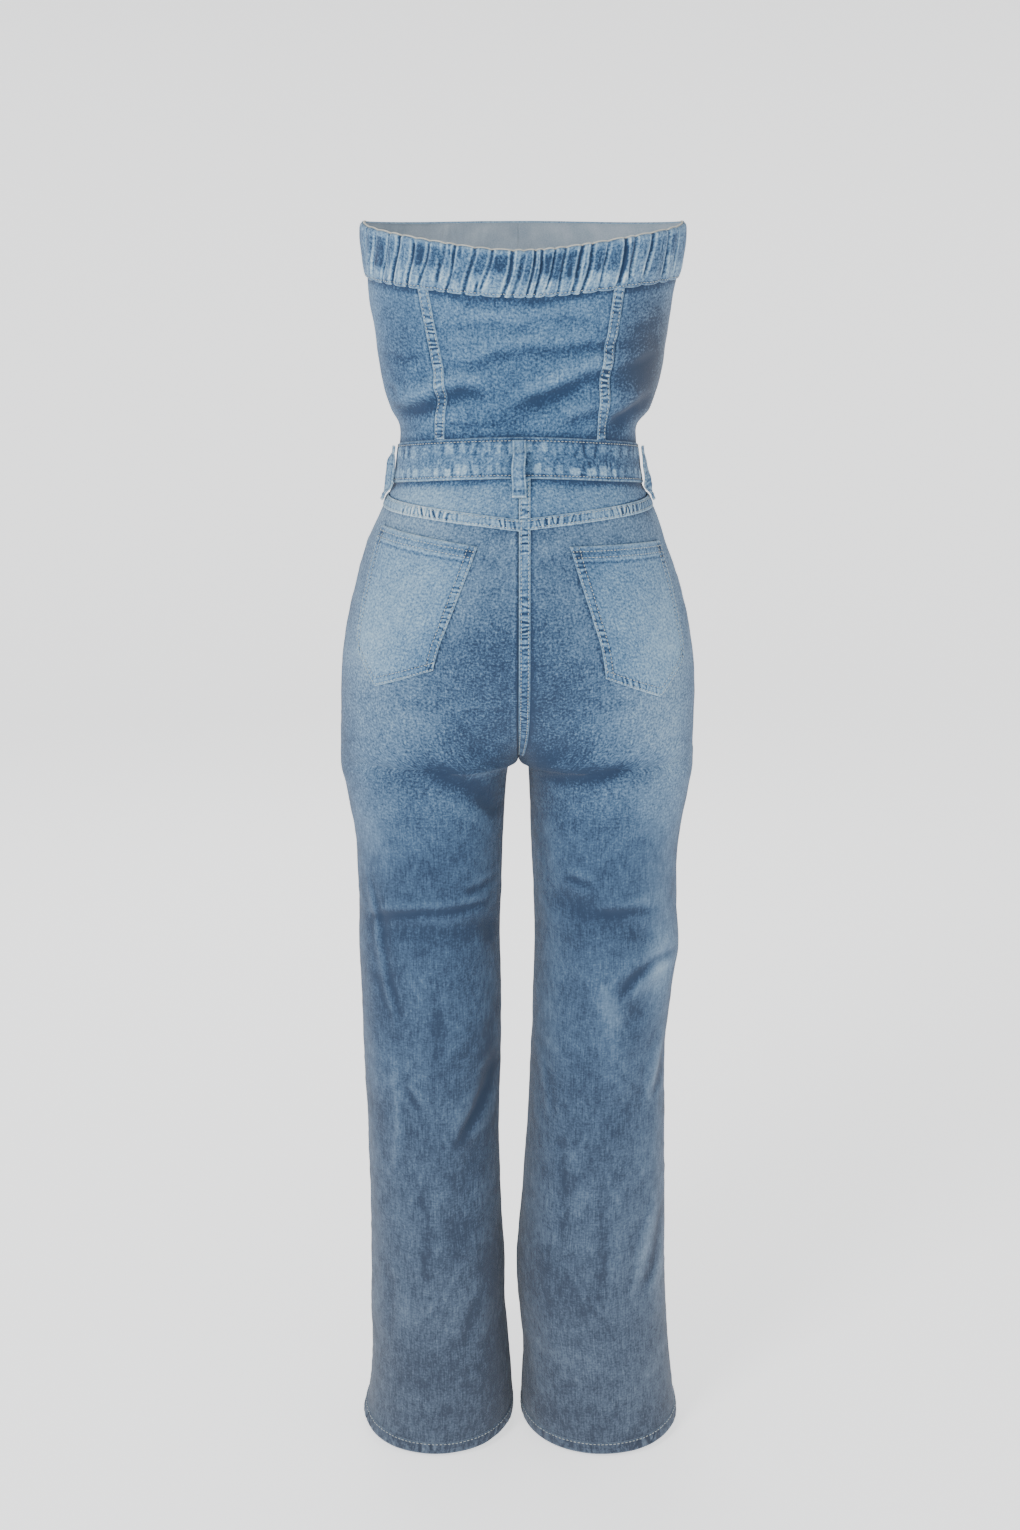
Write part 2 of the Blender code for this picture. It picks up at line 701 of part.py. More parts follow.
# ---------------------------------------------------------------- front closing
def front_strip(name, width, z_top, z_bottom, base, wall, rows, colour):
    """A strip that lies on the middle of the front, centred on the front seam."""
    outer, inner = [], []
    for v in spread(rows):
        z = between(z_top, z_bottom, v)
        outer_row, inner_row = [], []
        for share in spread(4, -1.0, 1.0):
            side = LEFT if share >= 0 else RIGHT
            s = place_at(side, max(abs(share) * width / 2, 0.01 * MM), z, front=True)
            inner_row.append(cloth(side, s, z, base))
            outer_row.append(cloth(side, s, z, base + wall))
        outer.append(outer_row)
        inner.append(inner_row)
    return wall_from_grids(name, outer, inner, colour)


def fly():
    """The fly's stitched front layer, on the wearer's left, round at its lower end."""
    top, outer, inner = waist_bottom(1.0) - 0.5 * MM, [], []
    for v in spread(10):
        z = top - FLY_LENGTH * v
        round_off = math.sqrt(max(1 - max((v - 0.7) / 0.3, 0) ** 2, 0))
        reach = max(FLY_WIDTH * round_off, 3 * MM)
        outer_row, inner_row = [], []
        for share in spread(3):
            x = between(0.6 * MM, reach, share)
            s = place_at(LEFT, x, z, front=True)
            inner_row.append(cloth(LEFT, s, z, POCKET_CLEARANCE))
            outer_row.append(cloth(LEFT, s, z, POCKET_CLEARANCE + DENIM))
        outer.append(outer_row)
        inner.append(inner_row)
    wall_from_grids("fly", outer, inner, "leg")


def button(name, z, radius, seat_height):
    """A domed shank button that faces forward, its back just clear of what it is on."""
    thickness = 2.6 * MM
    normal = outward(LEFT, 1.0, z)
    centre = cloth(LEFT, 1.0, z, seat_height + thickness / 2)
    disc = bmesh.new()
    bmesh.ops.create_cone(disc, cap_ends=True, segments=20, radius1=radius,
                          radius2=radius * 0.86, depth=thickness)
    turn = Vector((0, 0, 1)).rotation_difference(normal).to_matrix()
    bmesh.ops.rotate(disc, verts=disc.verts[:], matrix=turn)
    bmesh.ops.translate(disc, verts=disc.verts[:], vec=centre)
    add_object(name, disc, "metal")


def front_closing():
    base = 0.6 * MM
    band_seat = 2.0 * MM + base
    top, line, low = band_top(1.0) - 1 * MM, band_bottom(1.0), waist_top(1.0) + 1 * MM
    front_strip("band_placket", PLACKET_WIDTH, top, line + 0.6 * MM, band_seat, DENIM, 3, "trim")
    front_strip("bodice_placket", PLACKET_WIDTH, line - 0.6 * MM, low, base, DENIM, 9, "bodice")
    for k in range(BODICE_BUTTONS):
        on_band = k == 0
        z = between(top, line, 0.5) if on_band else between(line, low, (k - 0.5) / 4.5)
        seat = (band_seat if on_band else base) + DENIM + BUTTON_CLEARANCE
        button(f"bodice_button_{k + 1}", z, BODICE_BUTTON_RADIUS, seat)
    middle = (waist_top(1.0) + waist_bottom(1.0)) / 2
    button("waist_button", middle, WAIST_BUTTON_RADIUS, WAISTBAND_LIFT + BUTTON_CLEARANCE)


# ---------------------------------------------------------------- the garment
for existing in list(bpy.data.objects):
    bpy.data.objects.remove(existing, do_unlink=True)
parts = bpy.data.collections.new("strapless_denim_jumpsuit")
bpy.context.scene.collection.children.link(parts)

top_band()
bodice()
waistband()
belt_loop("belt_loop_back", LEFT, 0.0)
belt_loop("belt_loop_side_left", LEFT, 0.475)
belt_loop("belt_loop_side_right", RIGHT, 0.475)
yoke()
back_legs()
front_legs()
hems()
pocket(LEFT)
pocket(RIGHT)
front_closing()
fly()
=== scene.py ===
import math

import bmesh
import bpy
import numpy as np
from mathutils import Matrix, Vector


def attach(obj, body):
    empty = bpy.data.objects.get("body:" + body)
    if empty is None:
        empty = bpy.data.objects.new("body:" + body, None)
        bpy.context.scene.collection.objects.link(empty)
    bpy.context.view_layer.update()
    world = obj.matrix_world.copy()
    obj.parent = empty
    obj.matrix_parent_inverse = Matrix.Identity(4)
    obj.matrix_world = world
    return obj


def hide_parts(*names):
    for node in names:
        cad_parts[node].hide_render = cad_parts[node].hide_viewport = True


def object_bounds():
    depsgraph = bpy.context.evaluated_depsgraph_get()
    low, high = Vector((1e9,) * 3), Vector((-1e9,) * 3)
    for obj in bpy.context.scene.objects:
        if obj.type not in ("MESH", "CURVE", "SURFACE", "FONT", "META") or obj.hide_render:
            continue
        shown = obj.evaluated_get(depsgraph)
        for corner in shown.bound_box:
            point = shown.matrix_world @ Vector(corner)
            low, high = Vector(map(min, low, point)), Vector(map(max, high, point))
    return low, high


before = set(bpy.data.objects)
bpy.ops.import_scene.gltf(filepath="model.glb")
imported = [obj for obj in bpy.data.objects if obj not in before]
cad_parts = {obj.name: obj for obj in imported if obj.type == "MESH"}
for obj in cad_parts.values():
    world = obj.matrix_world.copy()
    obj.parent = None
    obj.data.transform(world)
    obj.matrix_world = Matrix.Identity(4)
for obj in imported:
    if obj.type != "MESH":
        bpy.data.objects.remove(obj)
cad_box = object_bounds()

# A strapless wide-leg denim jumpsuit, worn and hollow. Metres, +Z up, the back faces +Y and the
# wearer's left is +X. A place on the cloth is (side, s, z): side is +1 on the left and -1 on the
# right, z the height, and s runs round one half, from 0 at the back seam or inseam over 0.5 at
# the side seam to 1 at the front seam or inseam. Every piece is laid on the same skin.

MM = 0.001
LEFT, RIGHT = 1, -1
SIDE_NAMES = {LEFT: "left", RIGHT: "right"}

DENIM = 1.3 * MM            # one layer
TURNED = 2.8 * MM           # a waistband, turned hem or elastic casing
FELL_WIDTH = 10.5 * MM      # the flat felled band beside a seam
FELL_TUCK = 0.3 * MM        # how far its edge reaches over the seam
FINE_CREASES = 54           # the short creases between the deep grooves of that band

# How far inside an edge the rows of topstitching run
BAND_STITCH = 2.6 * MM
FRONT_BAND_STITCH = 3 * MM
WAISTBAND_STITCHES = {"top": 3.4 * MM, "bottom": 3.0 * MM}
FELL_STITCH = 1.9 * MM
NARROW_STITCH = 2.2 * MM    # plackets and belt loops
FRONT_PRINCESS_STITCHES = (2.5 * MM, 8.0 * MM)
POCKET_STITCHES = (1.9 * MM, 8.2 * MM)
POCKET_HEM_STITCHES = (5.2 * MM, 11.2 * MM)
FLY_STITCHES = (4 * MM, 10 * MM)
HEM_STITCH = 1.8 * MM

BAND_TOP = {"back": 0.166, "side": 0.200, "front": 0.209}
BAND_BOTTOM = {"back": 0.125, "side": 0.149, "front": 0.158}
WAIST_TILT = 0.009
WAISTBAND_HEIGHT = 0.038
YOKE_SEAM = {"back": -0.0755, "side": -0.0560}
SEAT_Z = -0.185
CROTCH_Z = -0.320
HEM_Z = -1.040
HEM_TILT = 0.008
HEM_HEIGHT = 0.013
ARCH_HEIGHT = 0.010
ROUND_RISE_REACH = 0.30
TORSO_SQUARENESS = 2.25
LEG_SQUARENESS = 2.1
CROTCH_BLEND = 0.018

BODY_COLUMNS = ("z", "left", "right", "back", "front")
BODY = (
    (0.215, 0.1475, 0.1560, 0.1010, 0.1120),
    (0.185, 0.1480, 0.1565, 0.0985, 0.1180),
    (0.160, 0.1455, 0.1530, 0.0960, 0.1210),
    (0.129, 0.1435, 0.1475, 0.0940, 0.1170),
    (0.100, 0.1385, 0.1435, 0.0925, 0.1080),
    (0.070, 0.1350, 0.1395, 0.0905, 0.1000),
    (0.045, 0.1305, 0.1340, 0.0890, 0.0950),
    (0.025, 0.1240, 0.1270, 0.0875, 0.0910),
    (0.010, 0.1160, 0.1150, 0.0865, 0.0890),
    (-0.005, 0.1150, 0.1140, 0.0870, 0.0895),
    (-0.045, 0.1215, 0.1200, 0.0935, 0.0935),
    (-0.060, 0.1290, 0.1275, 0.0980, 0.0955),
    (-0.080, 0.1385, 0.1365, 0.1035, 0.0980),
    (-0.103, 0.1490, 0.1445, 0.1085, 0.1000),
    (-0.150, 0.1625, 0.1605, 0.1165, 0.1020),
    (-0.198, 0.1725, 0.1715, 0.1205, 0.1015),
    (-0.250, 0.1785, 0.1785, 0.1185, 0.0990),
    (-0.283, 0.1795, 0.1785, 0.1135, 0.0970),
    (-0.320, 0.1785, 0.1755, 0.1050, 0.0940),
)
LEG_COLUMNS = ("z", "left_outer", "left_inner", "right_inner", "right_outer", "back", "front")
LEG = (
    (-0.185, 0.1700, 0.0000, 0.0000, 0.1690, 0.1100, 0.0950),
    (-0.320, 0.1785, 0.0095, 0.0095, 0.1755, 0.0980, 0.0910),
    (-0.345, 0.1736, 0.0126, 0.0107, 0.1720, 0.0950, 0.0890),
    (-0.407, 0.1646, 0.0156, 0.0129, 0.1620, 0.0890, 0.0850),
    (-0.470, 0.1630, 0.0178, 0.0160, 0.1620, 0.0855, 0.0820),
    (-0.514, 0.1634, 0.0188, 0.0163, 0.1650, 0.0830, 0.0805),
    (-0.557, 0.1620, 0.0178, 0.0154, 0.1595, 0.0810, 0.0795),
    (-0.623, 0.1610, 0.0180, 0.0134, 0.1530, 0.0790, 0.0780),
    (-0.712, 0.1580, 0.0200, 0.0094, 0.1540, 0.0790, 0.0780),
    (-0.803, 0.1566, 0.0180, 0.0032, 0.1556, 0.0800, 0.0790),
    (-0.870, 0.1570, 0.0145, -0.0015, 0.1565, 0.0810, 0.0800),
    (-0.919, 0.1580, 0.0140, 0.0012, 0.1590, 0.0820, 0.0810),
    (-0.967, 0.1570, 0.0096, 0.0056, 0.1630, 0.0835, 0.0820),
    (-1.014, 0.1610, 0.0063, 0.0035, 0.1680, 0.0855, 0.0830),
    (-1.050, 0.1690, 0.0048, 0.0035, 0.1740, 0.0875, 0.0840),
)
PRINCESS_COLUMNS = ("z", "back_left", "back_right", "front_left", "front_right")
PRINCESS = (
    (0.170, 0.0980, 0.1020, 0.0820, 0.0820),
    (0.127, 0.0920, 0.0955, 0.0800, 0.0800),
    (0.050, 0.0785, 0.0850, 0.0640, 0.0640),
    (-0.005, 0.0790, 0.0815, 0.0580, 0.0580),
)

# The broad folds of the solids: facing, x0, z0, x1, z1, width, height, in millimetres.
BROAD_FOLDS = (
    ("back", 85, 55, -125, 88, 9, -1.8),
    ("back", 125, 20, 40, 40, 8, -3.0),
    ("back", 128, 32, 60, 52, 9, 2.0),
    ("back", 20, 16, -128, 66, 9, -3.0),
    ("back", -20, 14, -105, 40, 9, 2.2),
    ("back", -88, 8, -138, 40, 8, -2.6),
    ("back", 60, 100, -60, 96, 10, -1.2),
    ("front", 110, 24, 20, 34, 9, -2.4),
    ("front", -110, 20, -25, 42, 9, -2.4),
    ("back", 130, -318, 40, -300, 14, -2.6),
    ("back", -130, -314, -42, -300, 14, -2.6),
    ("back", 160, -472, 30, -482, 13, -3.0),
    ("back", 168, -430, 142, -640, 16, 2.6),
    ("back", 30, -640, 66, -800, 16, -3.0),
    ("back", -50, -450, -128, -484, 13, -2.8),
    ("back", -150, -530, -110, -580, 14, -2.4),
    ("back", -72, -520, -104, -640, 16, 2.4),
    ("back", -138, -630, -144, -900, 14, 2.4),
    ("front", 150, -345, 45, -322, 14, -2.8),
    ("front", -150, -340, -45, -318, 14, -2.8),
    ("front", 140, -560, 50, -585, 14, -2.6),
    ("front", -140, -570, -50, -590, 14, -2.6),
    ("front", 95, -640, 100, -960, 17, 2.4),
    ("front", -92, -640, -98, -960, 17, 2.4),
)
# The sharper creases on top of them: facing, width, depth and the places they pass, all in
# millimetres, from left to right or from top to bottom as one looks at that face. A crease is
# a tapering trough whose upper lip stands up; with a depth below 0 it is a thin ridge.
CREASES = (
    ("back", 2.8, 0.9, (67, 125), (45, 122), (18, 124), (-10, 121), (-37, 124)),
    ("back", 4.3, 1.1, (63, 121), (16, 117), (-48, 120)),
    ("back", 4.8, 1.5, (78, 64), (40, 64), (23, 72), (-8, 79), (-33, 77), (-56, 81), (-112, 86)),
    ("back", 6.6, 2.6, (127, 29), (108, 20), (86, 26), (76, 35), (52, 41), (27, 38)),
    ("back", 5.7, 2.6, (10, 24), (-15, 33), (-32, 39), (-49, 46), (-61, 53), (-75, 57), (-96, 61)),
    ("back", 4.8, 1.5, (-92, 60), (-110, 65), (-133, 78)),
    ("back", 4.3, 1.3, (-40, 11), (-61, 19), (-77, 24)),
    ("back", 5.7, 2.4, (-83, 11), (-103, 19), (-118, 29), (-129, 41)),
    ("back", 2.8, 0.9, (136, 54), (120, 44), (114, 33)),
    ("back", 3.8, 0.8, (73, 97), (27, 102), (-19, 95)),
    ("back", 3.8, 0.7, (-1, 104), (-46, 107), (-79, 102)),
    ("back", 3.8, 0.8, (132, 78), (106, 70), (82, 77)),
    ("back", 3.8, 0.8, (-98, 97), (-117, 101), (-136, 109)),
    ("back", 3.3, 0.9, (74, 12), (46, 9), (13, 12)),
    ("back", 3.8, 0.9, (135, 9), (112, 5), (88, 11)),
    ("back", 3.3, 0.7, (-15, -42), (-47, -46), (-96, -39)),
    ("back", 3.3, 0.5, (114, -40), (65, -45), (18, -43)),
    ("back", 3.8, 0.8, (-15, -93), (-30, -88), (-52, -86)),
    ("back", 3.8, 0.6, (74, -78), (36, -88), (8, -86)),
    ("back", 2.4, 0.7, (57, -256), (32, -255), (7, -256)),
    ("back", 8.5, 2.0, (95, -307), (66, -322), (48, -332), (28, -351), (16, -371)),
    ("back", 6.6, 2.2, (-21, -311), (-29, -324), (-42, -324), (-64, -321), (-87, -317),
     (-116, -308)),
    ("back", 3.8, 0.8, (57, -317), (37, -314), (15, -308)),
    ("back", 4.8, 1.2, (42, -348), (32, -357), (18, -370)),
    ("back", 3.8, 2.0, (161, -476), (124, -463), (92, -459), (66, -458), (48, -457), (32, -456),
     (22, -451)),
    ("back", 3.8, 1.5, (56, -441), (35, -438), (19, -433)),
    ("back", 3.0, -1.3, (153, -421), (146, -450), (140, -489), (133, -533), (125, -565),
     (122, -596)),
    ("back", 4.2, -0.9, (124, -607), (124, -639), (121, -693), (129, -750)),
    ("back", 5.7, 1.6, (32, -471), (27, -488), (31, -504)),
    ("back", 5.4, 3.2, (22, -608), (25, -635), (32, -659), (41, -676), (53, -695), (65, -713)),
    ("back", 3.8, -1.2, (20, -571), (22, -601), (19, -653)),
    ("back", 3.8, 1.2, (115, -642), (106, -658), (95, -674)),
    ("back", 5.7, 0.8, (142, -834), (131, -873), (136, -932)),
    ("back", 6.6, 1.0, (44, -872), (50, -903), (56, -934)),
    ("back", 5.7, 0.8, (88, -529), (78, -583), (87, -636)),
    ("back", 5.7, 0.7, (100, -744), (92, -798), (97, -865)),
    ("back", 3.5, 1.5, (-46, -425), (-60, -428), (-74, -433)),
    ("back", 4.8, 1.7, (-72, -458), (-90, -461), (-112, -459), (-140, -461)),
    ("back", 5.7, 2.3, (-167, -509), (-135, -515), (-114, -529), (-95, -551)),
    ("back", 8.5, -1.1, (-78, -524), (-87, -550), (-103, -590)),
    ("back", 4.2, -1.1, (-151, -583), (-138, -630), (-127, -671)),
    ("back", 4.8, 1.4, (-156, -606), (-147, -630), (-136, -667)),
    ("back", 3.2, -0.7, (-23, -618), (-27, -651), (-31, -688)),
    ("back", 4.2, -1.2, (-142, -769), (-131, -814), (-125, -852), (-113, -884)),
    ("back", 4.6, 1.6, (-154, -780), (-146, -808), (-140, -848), (-127, -884)),
    ("back", 5.7, 0.9, (-42, -694), (-49, -757), (-45, -824)),
    ("back", 6.6, 0.8, (-83, -743), (-88, -820), (-82, -898)),
    ("back", 4.8, 0.9, (-17, -356), (-21, -396), (-29, -426)),
    ("back", 4.8, 0.8, (-6, -940), (-9, -976), (-17, -1008)),
    ("front", 4.0, 1.6, (60, 26), (90, 13), (118, 10)),
    ("front", 4.0, 1.6, (-120, 8), (-92, 14), (-62, 30)),
    ("front", 4.5, 1.1, (18, 52), (44, 42), (70, 40)),
    ("front", 4.5, 1.1, (-66, 52), (-44, 43), (-20, 44)),
    ("front", 5.0, 0.9, (70, 62), (94, 61), (120, 70)),
    ("front", 5.0, 0.9, (-118, 78), (-94, 67), (-72, 66)),
    ("front", 6.0, 1.6, (20, -250), (56, -278), (96, -292)),
    ("front", 6.0, 1.6, (-98, -288), (-60, -279), (-20, -254)),
    ("front", 6.0, 1.6, (14, -300), (44, -332), (80, -350)),
    ("front", 6.0, 1.6, (-84, -352), (-48, -332), (-14, -296)),
    ("front", 5.0, 1.2, (84, -440), (118, -434), (150, -420)),
    ("front", 5.0, 1.2, (-152, -430), (-120, -442), (-90, -446)),
    ("front", 5.5, 1.9, (60, -572), (96, -566), (132, -548)),
    ("front", 5.5, 1.9, (-130, -560), (-94, -576), (-58, -580)),
    ("front", 8.0, 1.1, (60, -620), (72, -690), (74, -760)),
    ("front", 8.0, 1.1, (-62, -640), (-76, -720), (-78, -800)),
    ("front", 8.0, 1.0, (126, -700), (131, -800), (120, -900)),
    ("front", 8.0, 1.0, (-124, -720), (-132, -820), (-128, -920)),
)

# The gathers of the back band, left (+) to right, in millimetres
GROOVES = (137, 128, 116, 106, 92, 80, 66, 56, 40, 25, 5, -4, -15, -22, -32, -42, -56, -65,
           -79, -95, -103, -117, -133, -141)
GATHER_DEPTH = 2.6 * MM
BAND_LIFT = 2.0 * MM
WAISTBAND_LIFT = 1.8 * MM
HEM_LIFT = 0.8 * MM

POCKET_CORNERS = ("top_inner", "top_outer", "bottom_inner", "point", "bottom_outer")
POCKETS = {
    LEFT: ((38.5, -100), (129.5, -84), (80.5, -215), (136.5, -234), (155.5, -198)),
    RIGHT: ((-46.5, -100), (-133.5, -99), (-81.5, -223), (-134.5, -244), (-158.5, -208)),
}
LOOP_WIDTH = 12 * MM
LOOP_THICKNESS = 2 * MM
LOOP_STANDOFF = 6.5 * MM
LOOP_TOP = -0.003
LOOP_BOTTOM = -0.056
LOOP_END = 6 * MM

PLACKET_WIDTH = 28 * MM
FLY_WIDTH = 36 * MM
FLY_LENGTH = 0.150
BODICE_BUTTONS = 5
BODICE_BUTTON_RADIUS = 7.5 * MM
WAIST_BUTTON_RADIUS = 9 * MM
BUTTON_CLEARANCE = 0.7 * MM


# ---------------------------------------------------------------- the skin
def smooth(x):
    """0 below 0, 1 above 1, and a smooth step between."""
    x = np.clip(x, 0, 1)
    return x * x * (3 - 2 * x)


def bell(x):
    return np.exp(-np.square(x))


def smooth_table(names, rows):
    """Returns value(column, z), which runs smoothly through the rows of a table."""
    ordered = np.array(sorted(rows))
    heights = ordered[:, 0]
    low = np.maximum(np.arange(len(heights)) - 1, 0)
    high = np.minimum(np.arange(len(heights)) + 1, len(heights) - 1)

    def value(column, z):
        values = ordered[:, names.index(column)]
        slopes = (values[high] - values[low]) / (heights[high] - heights[low])
        z = np.clip(z, heights[0], heights[-1])
        k = np.clip(np.searchsorted(heights, z, side="right") - 1, 0, len(heights) - 2)
        span = heights[k + 1] - heights[k]
        t = (z - heights[k]) / span
        return ((2 * t**3 - 3 * t**2 + 1) * values[k] + (t**3 - 2 * t**2 + t) * span * slopes[k]
                + (3 * t**2 - 2 * t**3) * values[k + 1] + (t**3 - t**2) * span * slopes[k + 1])

    return value


body = smooth_table(BODY_COLUMNS, BODY)
leg = smooth_table(LEG_COLUMNS, LEG)
princess = smooth_table(PRINCESS_COLUMNS, PRINCESS)


def two_sided(table, column, side, z):
    """A column of a table for the left or the right half."""
    return np.where(side > 0, table("left" + column, z), table("right" + column, z))


def oval(angle, half_width, depth, squareness):
    across = np.abs(np.sin(angle) / half_width) ** squareness
    along = np.abs(np.cos(angle) / depth) ** squareness
    return (across + along) ** (-1 / squareness)


def torso_point(side, s, z):
    angle = math.pi * s
    depth = np.where(s < 0.5, body("back", z), body("front", z))
    radius = oval(angle, two_sided(body, "", side, z), depth, TORSO_SQUARENESS)
    return np.stack([side * radius * np.sin(angle), radius * np.cos(angle), z], -1)


def leg_point(side, s, z):
    outer, inner = two_sided(leg, "_outer", side, z), two_sided(leg, "_inner", side, z)
    below_crotch = np.clip((CROTCH_Z - z) / ARCH_HEIGHT, 0, 1)
    inner = inner * np.sqrt(1 - (1 - below_crotch) ** 2)
    back, front = leg("back", z), leg("front", z)
    angle = 2 * math.pi * (s - 0.25)
    radius = oval(angle, (outer - inner) / 2, (back + front) / 2, LEG_SQUARENESS)
    x = (outer + inner) / 2 + radius * np.sin(angle)
    return np.stack([side * x, (back - front) / 2 + radius * np.cos(angle), z], -1)


def skin(side, s, z):
    """The outer face of the plain cloth. s may run past a seam, onto the next piece."""
    side, s, z = np.broadcast_arrays(np.asarray(side, float), np.asarray(s, float),
                                     np.asarray(z, float))
    legs = leg_point(side, s % 1, z)
    beyond = (s < 0) | (s > 1)
    torso_side = np.where(beyond, -side, side)
    torso_s = np.where(s < 0, -s, np.where(s > 1, 2 - s, s))
    rise = np.clip((z - CROTCH_Z) / (SEAT_Z - CROTCH_Z), 0, 1)
    round_rise = 1 - np.sqrt(rise * (2 - rise))
    slow_rise = (1 - rise) ** 2 * (1 + 2 * rise)
    turn = np.clip(np.minimum(torso_s, 1 - torso_s) / ROUND_RISE_REACH, 0, 1)
    share = (round_rise + (slow_rise - round_rise) * turn * turn * (3 - 2 * turn))[..., None]
    seat = (torso_point(torso_side, torso_s, z) * (1 - share)
            + leg_point(torso_side, torso_s, z) * share)
    return np.where((z < CROTCH_Z)[..., None], legs, seat)


def unit(vectors):
    return vectors / np.maximum(np.linalg.norm(vectors, axis=-1, keepdims=True), 1e-12)


def outward(side, s, z):
    """The skin's normal. Round the crotch it turns straight down, the same for all panels."""
    s, z = np.broadcast_arrays(np.asarray(s, float), np.asarray(z, float))
    ds, dz = 0.003, 0.0005
    across = skin(side, s + ds, z) - skin(side, s - ds, z)
    down = skin(side, s, z - dz) - skin(side, s, z + dz)
    normal = unit(side * np.cross(across, down))
    depth = (leg("back", CROTCH_Z) - leg("front", CROTCH_Z)) / 2
    away = np.linalg.norm(skin(side, s, z) - np.array((0, depth, CROTCH_Z)), axis=-1)
    share = smooth(1 - away / CROTCH_BLEND)[..., None]
    return unit(normal * (1 - share) + np.array((0, 0, -1)) * share)


def facing_share(facing, normal):
    toward = normal[..., 1] if facing == "back" else -normal[..., 1]
    return np.clip(toward * 1.6, 0, 1)


def fold_height(point, normal):
    """How far the broad folds lift or sink the cloth."""
    x, z = point[..., 0] / MM, point[..., 2] / MM
    total = np.zeros_like(x)
    for facing, x0, z0, x1, z1, width, height in BROAD_FOLDS:
        ax, az, bx, bz = x - x0, z - z0, x1 - x0, z1 - z0
        along = np.clip((ax * bx + az * bz) / (bx * bx + bz * bz), 0, 1)
        distance = np.hypot(ax - along * bx, az - along * bz)
        total += height * facing_share(facing, normal) * bell(distance / width)
    return total * MM


def beside(path, x, z):
    """Each point's distance from a bent line, above 0 on its left hand, and its share of the
    way along the line."""
    path = np.array(path, float)
    stretches = np.diff(path, axis=0)
    reach = np.hypot(*stretches.T)
    start = np.concatenate([[0], np.cumsum(reach)])
    nearest, along = np.full(x.shape, 1e3), np.zeros(x.shape)
    for k, (tx, tz) in enumerate(stretches / reach[:, None]):
        ax, az = x - path[k, 0], z - path[k, 1]
        t = np.clip(ax * tx + az * tz, 0, reach[k])
        dx, dz = ax - t * tx, az - t * tz
        distance = np.hypot(dx, dz)
        closer = distance < np.abs(nearest)
        hand = np.where(tx * dz - tz * dx < 0, -1, 1)
        nearest = np.where(closer, distance * hand, nearest)
        along = np.where(closer, (start[k] + t) / start[-1], along)
    return nearest, along


def crease_height(point, normal):
    """How far the sharper creases lift or sink the cloth."""
    x, z = point[..., 0] / MM, point[..., 2] / MM
    total = np.zeros_like(x)
    for facing, width, depth, *path in CREASES:
        margin = 5 * width
        xs, zs = zip(*path)
        near = ((x > min(xs) - margin) & (x < max(xs) + margin)
                & (z > min(zs) - margin) & (z < max(zs) + margin))
        if not near.any():
            continue
        distance, along = beside(path, x[near], z[near])
        if facing == "back":
            distance = -distance
        taper = smooth(along / 0.3 + 0.12) * smooth((1 - along) / 0.3 + 0.12)
        ends = np.minimum(along, 1 - along) * math.dist(path[0], path[-1])
        taper = taper * np.where(ends <= 0, bell(distance / width), 1)
        wide = width * (0.6 + 0.45 * taper)
        lips = (0.55 * bell((distance - 2.0 * wide) / (1.3 * wide))
                + 0.25 * bell((distance + 2.2 * wide) / (1.5 * wide)))
        total[near] += (depth * taper * facing_share(facing, normal[near])
                        * (lips - bell(distance / wide)))
    return total * MM


def ripple(point, scale, seed):
    """A soft unevenness: a few long waves that cross, from -1 to 1."""
    draws = np.random.default_rng(seed)
    total = np.zeros(point.shape[:-1])
    for _ in range(7):
        direction = draws.normal(size=3)
        direction *= 2 * math.pi / scale * draws.uniform(0.6, 1.5) / np.linalg.norm(direction)
        total += np.sin(point @ direction + draws.uniform(0, 6.28))
    return total / 4


def unevenness(point):
    return 0.45 * MM * ripple(point, 0.055, 5) + 0.20 * MM * ripple(point, 0.022, 8)


def cloth(side, s, z, height):
    """A point at a height over the folded cloth, and the plain cloth's normal there."""
    base, normal = skin(side, s, z), outward(side, s, z)
    relief = fold_height(base, normal) + crease_height(base, normal) + unevenness(base)
    return base + normal * (relief + height)[..., None], normal


def place_at(side, x, z, front=False):
    """The s at which the skin lies x from the middle plane, on the back or on the front."""
    x, z = np.broadcast_arrays(np.asarray(x, float), np.asarray(z, float))
    low = np.full(x.shape, 0.5 if front else 0.0)
    high = low + 0.5
    for _ in range(34):
        middle = (low + high) / 2
        short = (side * skin(side, middle, z)[..., 0] < x) != front
        low, high = np.where(short, middle, low), np.where(short, high, middle)
    return (low + high) / 2


# ---------------------------------------------------------------- lines of the cut
def level(table, s):
    """A height that runs smoothly between those at the back, the side and the front."""
    turn =np.cos(math.pi * np.asarray(s, float))
    end = np.where(turn > 0, table["back"], table.get("front", table["side"]))
    return table["side"] + (end - table["side"]) * np.abs(turn)


def waist_top(s):
    return -WAIST_TILT * (1 - np.cos(math.pi * np.asarray(s, float)))


def waist_bottom(s):
    return waist_top(s) - WAISTBAND_HEIGHT


def band_top(s):
    return level(BAND_TOP, s)


def band_bottom(s):
    return level(BAND_BOTTOM, s)


def yoke_seam(s):
    slope = (YOKE_SEAM["side"] - YOKE_SEAM["back"]) / 0.5
    return YOKE_SEAM["back"] + slope * np.clip(s, 0, 0.5)


def hem_bottom(s):
    return HEM_Z - HEM_TILT * np.sin(2 * math.pi * np.asarray(s, float))


def hem_top(s):
    return hem_bottom(s) + HEM_HEIGHT


def constant(value):
    return lambda _: value


def princess_line(side, facing):
    heights = np.linspace(-0.02, 0.19, 60)
    column = facing + "_" + SIDE_NAMES[side]
    places = place_at(side, princess(column, heights), heights, facing == "front")
    return lambda z: np.interp(z, heights, places)


